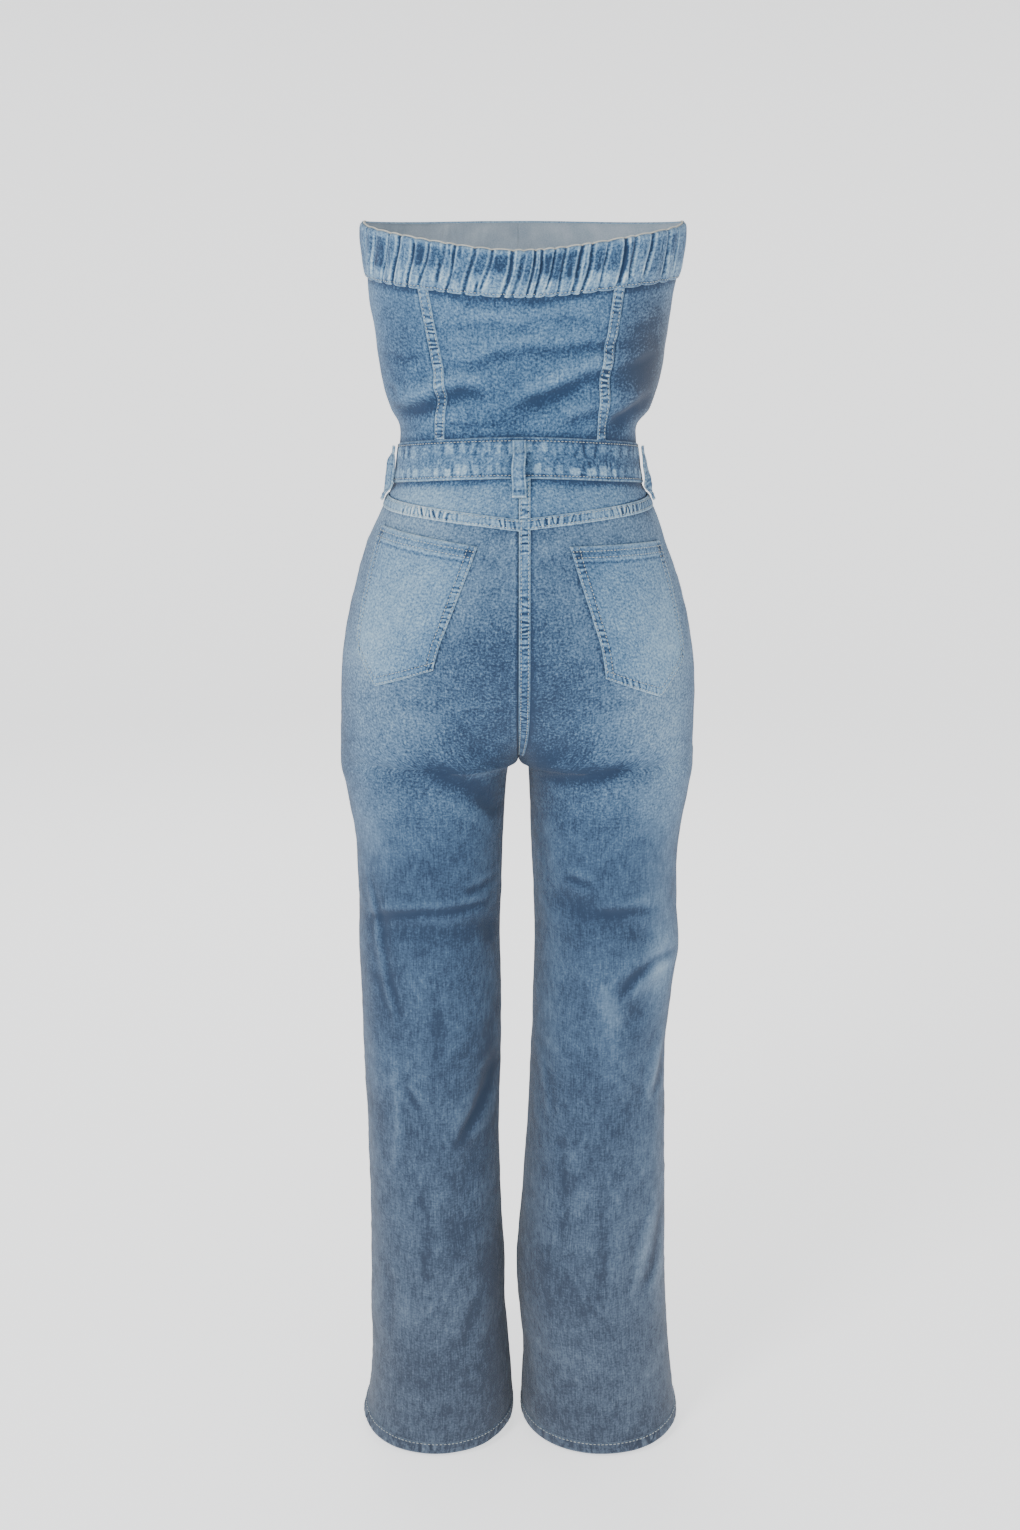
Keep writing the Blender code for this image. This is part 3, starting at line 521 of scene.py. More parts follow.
# ---------------------------------------------------------------- shader maths
class Amount:
    """A number in a shader, so that sums and products of such numbers read as arithmetic."""

    def __init__(self, finish, socket):
        self.finish, self.socket = finish, socket

    def math(self, operation, *values):
        return self.finish.node("ShaderNodeMath", {"operation": operation},
                                dict(enumerate(values)))

    def __add__(self, other):
        return self.math("ADD", self, other)

    def __sub__(self, other):
        return self.math("SUBTRACT", self, other)

    def __rsub__(self, other):
        return self.math("SUBTRACT", other, self)

    def __mul__(self, other):
        return self.math("MULTIPLY", self, other)

    __radd__, __rmul__ = __add__, __mul__

    def sine(self):
        return self.math("SINE", self)


class Finish:
    """A material in the making."""

    def __init__(self, name):
        self.material = bpy.data.materials.new(name)
        self.material.use_nodes = True
        self.tree = self.material.node_tree
        self.tree.nodes.clear()

    def node(self, kind, settings=(), inputs=(), output=0):
        """Adds a node: its settings first, a ramp's stops among them, then its sockets."""
        made = self.tree.nodes.new(kind)
        for name, value in dict(settings).items():
            if name == "stops":
                while len(made.color_ramp.elements) < len(value):
                    made.color_ramp.elements.new(0.5)
                for stop, (place, colour) in zip(made.color_ramp.elements, value):
                    stop.position, stop.color = place, (*colour, 1)
            else:
                setattr(made, name, value)
        for name, value in dict(inputs).items():
            if isinstance(value, Amount):
                self.tree.links.new(value.socket, made.inputs[name])
            else:
                made.inputs[name].default_value = value
        return Amount(self, made.outputs[output])

    def noise(self, vector, scale, detail=2.0, roughness=0.5):
        return self.node("ShaderNodeTexNoise", {"noise_dimensions": "3D"},
                         {"Vector": vector, "Scale": scale, "Detail": detail,
                          "Roughness": roughness})

    def stretched(self, vector, scale):
        return self.node("ShaderNodeMapping", inputs={"Vector": vector, "Scale": scale})

    def attribute(self, name):
        return self.node("ShaderNodeAttribute", {"attribute_name": name}, output="Fac")

    def ramp(self, amount, *stops):
        return self.node("ShaderNodeValToRGB", {"stops": stops}, {"Fac": amount})

    def bump(self, strength, distance, height):
        return self.node("ShaderNodeBump", inputs={
            "Strength": strength, "Distance": distance, "Height": height})

    def twill(self, flat, slant):
        """The diagonal ribs of the weave: slant is 1 on the cloth's face, -1 on its inside."""
        across = self.node("ShaderNodeSeparateXYZ", inputs={"Vector": flat})
        down = self.node("ShaderNodeSeparateXYZ", inputs={"Vector": flat}, output="Y")
        turns = 2 * math.pi / TWILL_PITCH
        return (across * (turns * 0.82) + down * (turns * 0.57 * slant)).sine()

    def surface(self, **sockets):
        names = {name.replace("_", " "): value for name, value in sockets.items()}
        shader = self.node("ShaderNodeBsdfPrincipled", inputs=names, output="BSDF")
        target = self.tree.nodes.new("ShaderNodeOutputMaterial")
        self.tree.links.new(shader.socket, target.inputs["Surface"])
        return self.material


def linear(red, green, blue):
    """A colour given by its 0-255 screen values."""
    return tuple(c / 12.92 if c <= 0.04045 else ((c + 0.055) / 1.055) ** 2.4
                 for c in (red / 255, green / 255, blue / 255))


def greyed(colour, share):
    """A colour taken a share of the way to the grey of its own brightness."""
    grey = 0.2126 * colour[0] + 0.7152 * colour[1] + 0.0722 * colour[2]
    return tuple(c + (grey - c) * share for c in colour)


# From unworn indigo to cloth that the wash has taken nearly white
FADE = (
    (0.00, linear(32, 54, 82)),
    (0.18, linear(57, 87, 119)),
    (0.40, linear(91, 123, 153)),
    (0.62, linear(127, 158, 182)),
    (0.82, linear(156, 183, 200)),
    (1.00, linear(196, 210, 217)),
)
TWILL_PITCH = 0.00062


def denim(name, grain, blotch, slub, grey=0.0):
    """Washed stretch denim: twill, slub along the warp, and the wash's grain and blotches."""
    made = Finish(name)
    flat = made.node("ShaderNodeUVMap", {"uv_map": "flat"})
    # The tone mark holds the wash together with painted shade in seams, creases, puckers and
    # beside raised edges.
    fade, coarse, dull = (made.attribute(mark) for mark in ("fade", "coarse", "dull"))
    warp = made.noise(made.stretched(flat, (1.0, 0.07, 1.0)), 800.0, 3.0)
    weft = made.noise(made.stretched(flat, (0.10, 1.0, 1.0)), 1100.0, 2.0)
    speckle = made.noise(flat, 430.0, 2.0, 0.7)
    blotches = made.noise(made.stretched(flat, (1.0, 0.55, 1.0)), 150.0, 3.0, 0.6)
    cloud = made.noise(flat, 40.0, 3.0, 0.6)
    twill = made.twill(flat, 1)
    tone = (fade + (warp - 0.5) * slub + (weft - 0.5) * (slub * 0.5)
            + (speckle - 0.5) * (coarse * 0.75 + grain) + (blotches - 0.5) * blotch
            + (cloud - 0.5) * 0.20 + twill * 0.018)
    blue = made.ramp(tone, *((place, greyed(colour, grey)) for place, colour in FADE))
    # This greys and darkens the colour: towards the hem, and as painted shade on the right of the
    # bodice.
    colour = made.node("ShaderNodeHueSaturation", inputs={
        "Saturation": 1.0 - dull, "Value": 1.0 - dull * 0.42, "Color": blue})
    height = twill * 0.35 + warp * 0.9 + weft * 0.6 + speckle * 1.2 + blotches * 1.5
    return made.surface(Base_Color=colour, Roughness=0.93 - fade * 0.08,
                        Normal=made.bump(0.6, 0.26 * MM, height), Sheen_Weight=0.12,
                        Sheen_Roughness=0.5, Specular_IOR_Level=0.25)


def inner_denim(name):
    """The inside of the cloth, where the pale weft shows."""
    made = Finish(name)
    flat = made.node("ShaderNodeUVMap", {"uv_map": "flat"})
    twill = made.twill(flat, -1)
    speckle = made.noise(flat, 700.0, 3.0, 0.6)
    cloud = made.noise(flat, 45.0, 2.0)
    colour = made.ramp(speckle * 0.5 + cloud * 0.4 + twill * 0.06 + 0.05,
                       (0.25, linear(122, 142, 160)), (0.75, linear(186, 196, 204)))
    return made.surface(Base_Color=colour, Roughness=0.92, Sheen_Weight=0.1,
                        Normal=made.bump(0.5, 0.2 * MM, twill * 0.4 + speckle))


def thread(name, colour):
    """Twisted sewing thread, a little fuzzy and unevenly worn."""
    made = Finish(name)
    place = made.node("ShaderNodeTexCoord", output="Object")
    uneven = made.noise(place, 240.0, 2.0)
    fuzz = made.noise(place, 3200.0, 2.0)
    dark = tuple(c * 0.62 for c in colour)
    shade = made.ramp(uneven * 0.7 + fuzz * 0.3, (0.3, dark), (0.65, colour))
    return made.surface(Base_Color=shade, Roughness=0.7, Normal=made.bump(0.6, 0.1 * MM, fuzz))


def tape(name):
    """The off-white edge of the elastic casing."""
    made = Finish(name)
    place = made.node("ShaderNodeTexCoord", output="Object")
    fuzz = made.noise(place, 1500.0, 3.0)
    cloud = made.noise(place, 90.0, 2.0)
    shade = made.ramp(fuzz * 0.6 + cloud * 0.4,
                      (0.3, linear(168, 168, 156)), (0.7, linear(214, 212, 200)))
    return made.surface(Base_Color=shade, Roughness=0.9, Normal=made.bump(0.7, 0.3 * MM, fuzz))


def aged_metal(name):
    """The buttons' metal, softly brushed and clouded with age."""
    made = Finish(name)
    place = made.node("ShaderNodeTexCoord", output="Object")
    cloud = made.noise(place, 380.0, 4.0, 0.6)
    brushed = made.noise(made.stretched(place, (1.0, 1.0, 6.0)), 1400.0, 2.0)
    shade = made.ramp(cloud, (0.35, linear(96, 82, 62)), (0.7, linear(168, 150, 120)))
    return made.surface(Base_Color=shade, Roughness=cloud * 0.3 + 0.22, Metallic=1.0,
                        Normal=made.bump(0.25, 0.1 * MM, brushed))


finishes = {
    "bodice": denim("bodice denim", grain=0.40, blotch=0.34, slub=0.24),
    "seat": denim("seat denim", grain=0.50, blotch=0.34, slub=0.24),
    "leg": denim("leg denim", grain=0.42, blotch=0.34, slub=0.34, grey=0.13),
    "trim": denim("trim denim", grain=0.50, blotch=0.44, slub=0.22),
    "inside": inner_denim("inside of the denim"),
    "thread": thread("pale thread", linear(196, 204, 200)),
    "tape": tape("elastic edge"),
    "metal": aged_metal("button metal"),
}


# ---------------------------------------------------------------- the wash and painted shade
# Soft pale or dark places: facing, x, z, reach across, reach down (mm), amount
# The dark places under the seat, low on the inner left leg and on the right of the bodice,
# waistband and yoke are painted shade.
WASH_AND_SHADE = (
    ("back", 150, -195, 42, 62, 0.28), ("back", 96, -150, 44, 52, 0.20),
    ("back", -152, -200, 40, 66, 0.24), ("back", -104, -165, 42, 55, 0.14),
    ("back", 80, -62, 50, 26, 0.22), ("back", -84, -62, 46, 24, 0.02),
    ("back", 116, -280, 44, 46, 0.14), ("back", 152, -360, 36, 70, 0.18),
    ("back", -118, -275, 44, 50, 0.18), ("back", -152, -350, 38, 80, 0.26),
    ("back", 14, -230, 50, 50, -0.10), ("back", -30, -220, 44, 50, -0.05),
    ("back", -128, -60, 20, 26, -0.14), ("back", -30, -300, 60, 30, -0.04),
    ("back", 44, -322, 40, 20, -0.10), ("back", -56, -312, 50, 14, -0.10),
    ("back", -14, -330, 14, 40, -0.16), ("back", 18, -345, 12, 34, -0.14),
    ("back", -86, -350, 40, 26, 0.08), ("back", 70, -370, 44, 30, 0.05),
    ("back", -92, -545, 26, 56, 0.09), ("back", 96, -540, 26, 70, 0.04),
    ("back", -142, -620, 14, 60, 0.03), ("back", -146, -520, 20, 60, 0.36),
    ("back", -34, -540, 16, 90, 0.10), ("back", -70, -26, 44, 18, -0.16),
    ("back", 138, -540, 22, 90, -0.05), ("back", 26, -640, 14, 70, -0.08),
    ("back", 20, -900, 20, 130, -0.14), ("back", 118, -640, 18, 60, 0.06),
    ("back", 136, -830, 20, 150, 0.01), ("back", -132, -800, 22, 150, 0.03),
    ("back", -40, -860, 30, 90, -0.03), ("back", -100, -960, 60, 60, 0.04),
    ("back", 0, 72, 74, 34, -0.02), ("back", 116, 70, 30, 60, -0.12),
    ("back", -124, 60, 32, 60, -0.40), ("back", -60, 22, 50, 18, -0.06),
    ("back", -124, -20, 24, 40, -0.16), ("back", -120, 12, 16, 14, 0.14),
    ("front", 95, -240, 46, 110, 0.34), ("front", -95, -240, 46, 110, 0.34),
    ("front", 95, -420, 40, 120, 0.16), ("front", -95, -420, 40, 120, 0.16),
    ("front", 100, -90, 50, 50, 0.14), ("front", -100, -90, 50, 50, 0.14),
    ("front", 90, -620, 30, 80, 0.10), ("front", -90, -620, 30, 80, 0.10),
)
# How far the wash has taken the cloth at each height
WASH_LEVELS = ((0.22, 0.32), (0.12, 0.29), (0.06, 0.25), (0.00, 0.20), (-0.02, 0.31),
               (-0.06, 0.35), (-0.11, 0.27), (-0.18, 0.19), (-0.26, 0.16), (-0.33, 0.10),
               (-0.42, 0.09), (-0.48, 0.07), (-0.60, 0.08), (-0.80, 0.11), (-1.05, 0.07))


# The wash's tone at each height and place, with the painted shade of the dark places above.
def wash(point, normal):
    x, z = point[..., 0] / MM, point[..., 2] / MM
    heights, tones = np.array(WASH_LEVELS[::-1]).T
    total = np.interp(point[..., 2], heights, tones)
    for facing, cx, cz, across, down, amount in WASH_AND_SHADE:
        total = total + (amount * facing_share(facing, normal)
                         * bell((x - cx) / across) * bell((z - cz) / down))
    return total + 0.03 * ripple(point, 0.09, 21) + 0.022 * ripple(point, 0.035, 22)


def wear_and_shade(broad, sharp):
    """Folds that stand high are worn pale; troughs keep their blue and are painted darker, partly
    as their shade.
    """
    return np.clip(broad / MM, -3, 3) * 0.025 + np.clip(sharp / MM, -2.4, 1.4) * 0.10


# ---------------------------------------------------------------- making the pieces
class Patch:
    """A grid of places on the cloth with the distances from its four edges, in metres."""

    def __init__(self, side, s, z):
        self.side, self.s, self.z = side, s, z
        self.base, self.normal = skin(side, s, z), outward(side, s, z)
        step = np.linalg.norm(np.diff(self.base, axis=1), axis=-1)
        self.left = np.concatenate([np.zeros((len(step), 1)), np.cumsum(step, 1)], 1)
        self.right = self.left[:, -1:] - self.left
        self.warp = self.left
        step = np.linalg.norm(np.diff(self.base, axis=0), axis=-1)
        self.top = np.concatenate([np.zeros((1, step.shape[1])), np.cumsum(step, 0)], 0)
        self.bottom = self.top[-1:] - self.top
        self.weft = self.top
        broad, sharp = fold_height(self.base, self.normal), crease_height(self.base, self.normal)
        self.height = broad + sharp + unevenness(self.base)
        self.fade = wash(self.base, self.normal) + wear_and_shade(broad, sharp)
        self.coarse = smooth((z + 0.42) / 0.12)
        # Greyer and darker towards the hem, and painted shade on the right side of the bodice
        painted_side_shade = bell((self.base[..., 0] / MM + 135) / 34) * bell((z / MM - 60) / 70)
        self.dull = np.interp(z, (-1.05, -0.9, -0.6, -0.35), (0.32, 0.26, 0.08, 0.0)) \
            + 0.34 * painted_side_shade
        self.shift = np.zeros(self.base.shape)

    def lift(self, amount):
        self.height = self.height + amount
        return self

    def pressed(self, distance, depth, reach):
        """A seam: the cloth dips towards it, the dip is painted darker as its shade, and its lips
        beside the dip are worn pale.
        """
        dip = bell(distance / reach)
        self.height = self.height - depth * dip
        self.fade = self.fade - 0.16 * bell(distance / (0.7 * reach)) \
            + 0.10 * bell((distance - 1.6 * reach) / reach)
        return self

    def rolled(self, distance, depth, reach, pale=0.24):
        """A folded edge: it rounds down, and its very edge is worn nearly white."""
        share = np.clip(1 - distance / reach, 0, 1)
        self.height = self.height - depth * (1 - np.sqrt(np.clip(1 - share**2, 0, 1)))
        self.fade = self.fade + pale * bell(distance / (0.9 * reach))
        return self

    def stitched(self, distance, depth=0.28 * MM, reach=0.9 * MM, dark=0.12):
        """The shallow dip that a row of topstitching draws in the cloth, painted darker as its
        shade.
        """
        self.height = self.height - depth * bell(distance / reach)
        self.fade = self.fade - dark * bell(distance / (1.3 * reach))
        return self

    def puckers(self, along, across, width, spacing, depth, seed, dark=0.30, slant=0.35,
                reach=0.95 * MM):
        """Ladder puckers: short troughs across a stitched band, unevenly spaced, painted darker in
        the troughs as their shade and paler on their lips.
        """
        draws = np.random.default_rng(seed)
        count = int(np.ptp(along) / spacing) + 2
        places = np.min(along) + np.cumsum(draws.uniform(0.45, 1.6, count)) * spacing
        window = smooth(across / (0.22 * width)) * smooth((width - across) / (0.22 * width))
        total = np.zeros(along.shape)
        for place in places:
            lean, deep, wide = draws.uniform(-slant, slant), draws.uniform(0.25, 1), \
                draws.uniform(0.75, 1.5)
            deep *= 0.7 + 0.5 * math.sin(place * 70 + seed)
            d = (along - place - lean * (across - width / 2)) / (reach * wide)
            near = np.abs(d) < 4
            total[near] += deep * (bell(d[near]) - 0.45 * bell((np.abs(d[near]) - 1.9) / 0.8))
        total = total * window
        self.height = self.height - depth * total
        self.fade = self.fade - dark * total
        return self

    def rubbed(self, along, across, low, high, seed, pale=0.16, wide=(5, 13), apart=(1.5, 6)):
        """A row of pale places, as a doubled edge gets where it rubs between its puckers."""
        draws = np.random.default_rng(seed)
        place, total = np.min(along), np.zeros(along.shape)
        while place < np.max(along):
            size = draws.uniform(*wide) * MM
            amount, reach = draws.uniform(0.2, 1.0), draws.uniform(0.75, 1.1)
            bottom, top = low, low + (high - low) * reach
            across_share = smooth((across - bottom) / (1.4 * MM)) * smooth(
                (top - across) / (2.2 * MM))
            total += amount * across_share * smooth((along - place) / (1.6 * MM)) * smooth(
                (place + size - along) / (1.6 * MM))
            place += size + draws.uniform(*apart) * MM
        self.fade = self.fade + pale * total
        self.height = self.height + 0.25 * MM * total
        return self

    def painted_shadow(self, distance, dark=0.16, reach=2.2 * MM):
        """Painted shadow: the cloth close beside a raised edge is painted darker, where that
        edge's shadow falls.
        """
        self.fade = self.fade - dark * bell(np.clip(distance, 0, None) / reach) * (
            distance > -3 * MM)
        return self

    def points(self):
        return self.base + self.shift + self.normal * self.height[..., None]


def grid_mesh(name, points, uv, marks, ring=False):
    """A flat grid bent onto a block of points, with its flat size as UV, in metres."""
    down, across = points.shape[0] - 1, points.shape[1] - 1
    shape = bmesh.new()
    bmesh.ops.create_grid(shape, x_segments=across, y_segments=down, size=0.5)
    mesh = bpy.data.meshes.new(name)
    shape.to_mesh(mesh)
    shape.free()
    spots = np.zeros(len(mesh.vertices) * 3)
    mesh.vertices.foreach_get("co", spots)
    spots = spots.reshape(-1, 3)
    column = np.rint((spots[:, 0] + 0.5) * across).astype(int)
    row = np.rint((0.5 - spots[:, 1]) * down).astype(int)
    mesh.vertices.foreach_set("co", points[row, column].astype(np.float32).ravel())
    corner = np.zeros(len(mesh.loops), int)
    mesh.loops.foreach_get("vertex_index", corner)
    layer = mesh.uv_layers.new(name="flat")
    layer.data.foreach_set("uv", uv[row, column][corner].astype(np.float32).ravel())
    for mark, values in marks.items():
        attribute = mesh.attributes.new(mark, "FLOAT", "POINT")
        attribute.data.foreach_set("value", values[row, column].astype(np.float32).ravel())
    if ring:
        shape = bmesh.new()
        shape.from_mesh(mesh)
        bmesh.ops.remove_doubles(shape, verts=shape.verts[:], dist=2e-5)
        shape.to_mesh(mesh)
        shape.free()
    mesh.shade_smooth()
    return mesh


def show(name, mesh, finish, replaced=(), wall=0.0, inside="inside"):
    """Adds a piece to the garment and, where it is cloth, gives it its thickness."""
    piece = bpy.data.objects.new(name, mesh)
    bpy.context.scene.collection.objects.link(piece)
    mesh.materials.append(finishes[finish])
    if wall:
        mesh.materials.append(finishes[inside])
        skin_wall = piece.modifiers.new("wall", "SOLIDIFY")
        skin_wall.thickness, skin_wall.offset = wall, -1
        skin_wall.use_rim, skin_wall.material_offset = True, 1
    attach(piece, "root")
    if replaced:
        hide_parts(*replaced)
    return piece


def lay(name, patch, finish, replaced=(), wall=DENIM, ring=False, inside="inside",
        rests_on=()):
    points = patch.points()
    uv = np.stack([patch.warp - patch.warp[:, -1:] / 2, -patch.weft], -1)
    marks = {"fade": patch.fade, "coarse": patch.coarse, "dull": patch.dull}
    mesh = grid_mesh(name + "_cloth", points, uv, marks, ring)
    middle = points[points.shape[0] // 2, points.shape[1] // 2]
    face = min(mesh.polygons, key=lambda f: (f.center - Vector(middle)).length)
    toward = Vector(patch.normal[points.shape[0] // 2, points.shape[1] // 2])
    if face.normal.dot(toward) < 0:
        mesh.flip_normals()
    piece = show(name + "_cloth", mesh, finish, replaced, wall, inside)
    laid[name] = patch


laid = {}


def spread(count, low=0.0, high=1.0):
    return np.linspace(low, high, count + 1)


def cut(side, s_from, s_to, z_top, z_bottom, across, down, past=(0, 0, 0, 0), extra=()):
    """The patch between two seams (functions of z) and two edges (of s). past is how far it
    runs past its left, right, top and bottom lines, in metres. extra lists the shares of the
    way down at which it gets further rows."""
    probe_s = (s_from(0.0) + s_to(0.0)) / 2
    tall = abs(float(z_top(probe_s) - z_bottom(probe_s)))
    probe_z = float(z_top(probe_s) + z_bottom(probe_s)) / 2
    ends = skin(side, np.linspace(float(s_from(probe_z)), float(s_to(probe_z)), 60), probe_z)
    wide = np.linalg.norm(np.diff(ends, axis=0), axis=-1).sum()
    u = spread(across, -past[0] / wide, 1 + past[1] / wide)[None, :]
    rows = spread(down, -past[2] / tall, 1 + past[3] / tall)
    if extra:
        clear = np.abs(rows[:, None] - np.array(extra)).min(1) > 0.25 / down
        rows = np.sort(np.concatenate([rows[clear], extra]))
    u, v = np.broadcast_arrays(u, rows[:, None])
    s = s_from(0.0) + (s_to(0.0) - s_from(0.0)) * u
    for _ in range(4):
        z = z_top(s) + (z_bottom(s) - z_top(s)) * v
        s = s_from(z) + (s_to(z) - s_from(z)) * u
    made = Patch(side, s, z)
    made.left, made.right = made.left - past[0], made.right - past[1]
    made.top, made.bottom = made.top - past[2], made.bottom - past[3]
    return made


# ---------------------------------------------------------------- top band
def gathered_band():
    """The back band: cloth that puffs between deep grooves, with short creases across it."""
    patch = cut(LEFT, constant(-0.5), constant(0.5), band_top, band_bottom, 440, 34)
    v = patch.top / patch.top[-1:]
    draws = np.random.default_rng(11)

    def window(start, stop):
        return smooth((v - start) / 0.12) * smooth((stop - v) / 0.12)

    grooves = []
    for x in GROOVES:
        side = LEFT if x > 0 else RIGHT
        s = side * float(place_at(side, abs(x) * MM, float(band_top(0)) - 0.02))
        grooves.append(np.interp(s, patch.s[0], patch.left[0]))
    grooves.sort()
    ends = patch.left[0, 0], patch.left[0, -1]
    swell = np.zeros(patch.s.shape)
    edges = [ends[0], *grooves, ends[1]]
    for first, last in zip(edges, edges[1:]):
        share = (patch.left - first) / (last - first)
        inside = (share >= 0) & (share <= 1)
        swell[inside] = np.sin(math.pi * share[inside]) ** 0.7
        blue, stop = draws.uniform(0.10, 0.42), draws.uniform(0.52, 0.92)
        panel = smooth((v - 0.06) / 0.10) * smooth((stop - v) / 0.16) * smooth(
            (0.5 - np.abs(share - 0.5)) / 0.22)
        patch.fade = patch.fade - blue * np.where(inside, panel, 0)
    puff = np.interp(v, (0.0, 0.08, 0.3, 0.75, 0.9, 1.0), (0.35, 0.9, 1.0, 0.95, 0.7, 0.45))
    patch.lift(BAND_LIFT + GATHER_DEPTH * (swell * puff - 0.45))
    patch.fade = patch.fade + 0.10
    patch.rubbed(patch.left, patch.bottom, 2 * MM, 17 * MM, 12, 0.22, (3, 9), (0.5, 6))
    patch.rubbed(patch.left, patch.bottom, 9 * MM, 24 * MM, 13, 0.15, (2, 5), (5, 18))
    for place in grooves:
        lean = draws.uniform(-3.0, 3.0) * MM
        start, stop = draws.uniform(-0.3, 0.06), draws.uniform(0.86, 1.2)
        deep, wide = draws.uniform(0.6, 1.1), draws.uniform(1.1, 2.1) * MM
        wander = 0.8 * MM * np.sin(v * draws.uniform(3, 7) + draws.uniform(0, 6))
        d = (patch.left - place - lean * (v - 0.5) - wander) / wide
        lips, share = bell((np.abs(d) - 1.6) / 0.55), window(start, stop)
        patch.height = patch.height + (0.45 * lips - 1.1 * bell(d)) * deep * share * MM
        # Each groove is painted darker as its shade and its lips paler
        patch.fade = patch.fade + (0.46 * lips - 0.55 * bell(d * 1.15)) * deep * share
    for _ in range(FINE_CREASES):
        place = draws.uniform(*ends)
        lean, start = draws.uniform(-7, 7) * MM, draws.uniform(-0.1, 0.75)
        stop = start + draws.uniform(0.18, 0.5)
        deep, wide = draws.uniform(0.25, 0.8), draws.uniform(0.9, 1.8) * MM
        d = (patch.left - place - lean * (v - 0.5)) / wide
        share = window(start, stop)
        patch.height = patch.height + (0.35 * bell((np.abs(d) - 1.7) / 0.7)
                                       - 0.6 * bell(d)) * deep * share * MM
        # Each short crease is painted darker as its shade and its lips paler
        patch.fade = patch.fade + (0.26 * bell((np.abs(d) - 1.6) / 0.6)
                                   - 0.34 * bell(d)) * deep * share
    patch.stitched(patch.bottom - BAND_STITCH, 0.4 * MM, 1.0 * MM, 0.26)
    patch.rolled(patch.top, 1.2 * MM, 1.8 * MM, 0.06)
    patch.rolled(patch.bottom, 1.6 * MM, 1.8 * MM, 0.22)
    scallop = (swell - 0.6) * 1.3 * MM
    patch.shift[..., 2] = scallop * np.where(v < 0.5, bell(v / 0.16), -bell((1 - v) / 0.12) * 0.8)
    lay("top_band_back", patch, "trim", ["top_band_back"], TURNED)


def front_bands():
    for side in (LEFT, RIGHT):
        name = "top_band_front_" + SIDE_NAMES[side]
        patch = cut(side, constant(0.5), constant(1.0), band_top, band_bottom, 150, 28,
                    (1 * MM, 0.2 * MM, 0, 0))
        patch.lift(BAND_LIFT + 0.3 * MM * ripple(patch.base, 0.03, 31))
        patch.puckers(patch.left, patch.top, patch.top[-1:], 7 * MM, 0.35 * MM, 40 + side, 0.10,
                      reach=1.6 * MM)
        patch.stitched(patch.top - FRONT_BAND_STITCH).stitched(patch.bottom - FRONT_BAND_STITCH)
        patch.rolled(patch.top, 1.2 * MM, 1.8 * MM).rolled(patch.bottom, 1.4 * MM, 1.8 * MM)
        patch.pressed(patch.left, 1.0 * MM, 2.0 * MM)
        lay(name, patch, "trim", [name], TURNED)


# ---------------------------------------------------------------- bodice
def bodice():
    lines = {(side, facing): princess_line(side, facing)
             for side in (LEFT, RIGHT) for facing in ("back", "front")}
    left, right = lines[LEFT, "back"], lines[RIGHT, "back"]
    patch = cut(LEFT, lambda z: -right(z), left, band_bottom, waist_top, 132, 104,
                (0.3 * MM, 0.3 * MM, 4 * MM, 3 * MM))
    for edge in (patch.left, patch.right):
        patch.pressed(edge, 1.0 * MM, 1.8 * MM)
        patch.puckers(patch.top, edge - FELL_WIDTH + 2 * MM, 14 * MM, 12 * MM, 0.5 * MM, 61,
                      0.08, slant=1.2, reach=2.2 * MM)
        # Painted shadow beside the felled band
        patch.painted_shadow(edge - FELL_WIDTH, 0.12)
    # Painted shadow under the band's lower edge and over the waistband
    patch.painted_shadow(patch.top, 0.34, 5 * MM).painted_shadow(patch.bottom, 0.22, 4 * MM)
    lay("bodice_back_centre", patch, "bodice", ["bodice_back_centre"])
    for side in (LEFT, RIGHT):
        name = SIDE_NAMES[side]
        back, front = lines[side, "back"], lines[side, "front"]
        spans = (("bodice_back_side_", back, constant(0.5), 66, 96),
                 ("bodice_front_side_", constant(0.5), front, 44, 62),
                 ("bodice_front_centre_", front, constant(1.0), 48, 62))
        for label, first, last, across, down in spans:
            past_end = 0.1 * MM if label == "bodice_front_centre_" else 0.3 * MM
            patch = cut(side, first, last, band_bottom, waist_top, across, down,
                        (0.3 * MM, past_end, 4 * MM, 3 * MM))
            for edge in (patch.left, patch.right):
                patch.pressed(edge, 1.0 * MM, 1.8 * MM)
            # Painted shadow under the band, over the waistband and beside the felled band
            patch.painted_shadow(patch.top, 0.30, 5 * MM).painted_shadow(patch.bottom, 0.18, 4 * MM)
            patch.painted_shadow(patch.left if label == "bodice_back_side_" else patch.right, 0.12)
            lay(label + name, patch, "bodice", [label + name])
    return lines


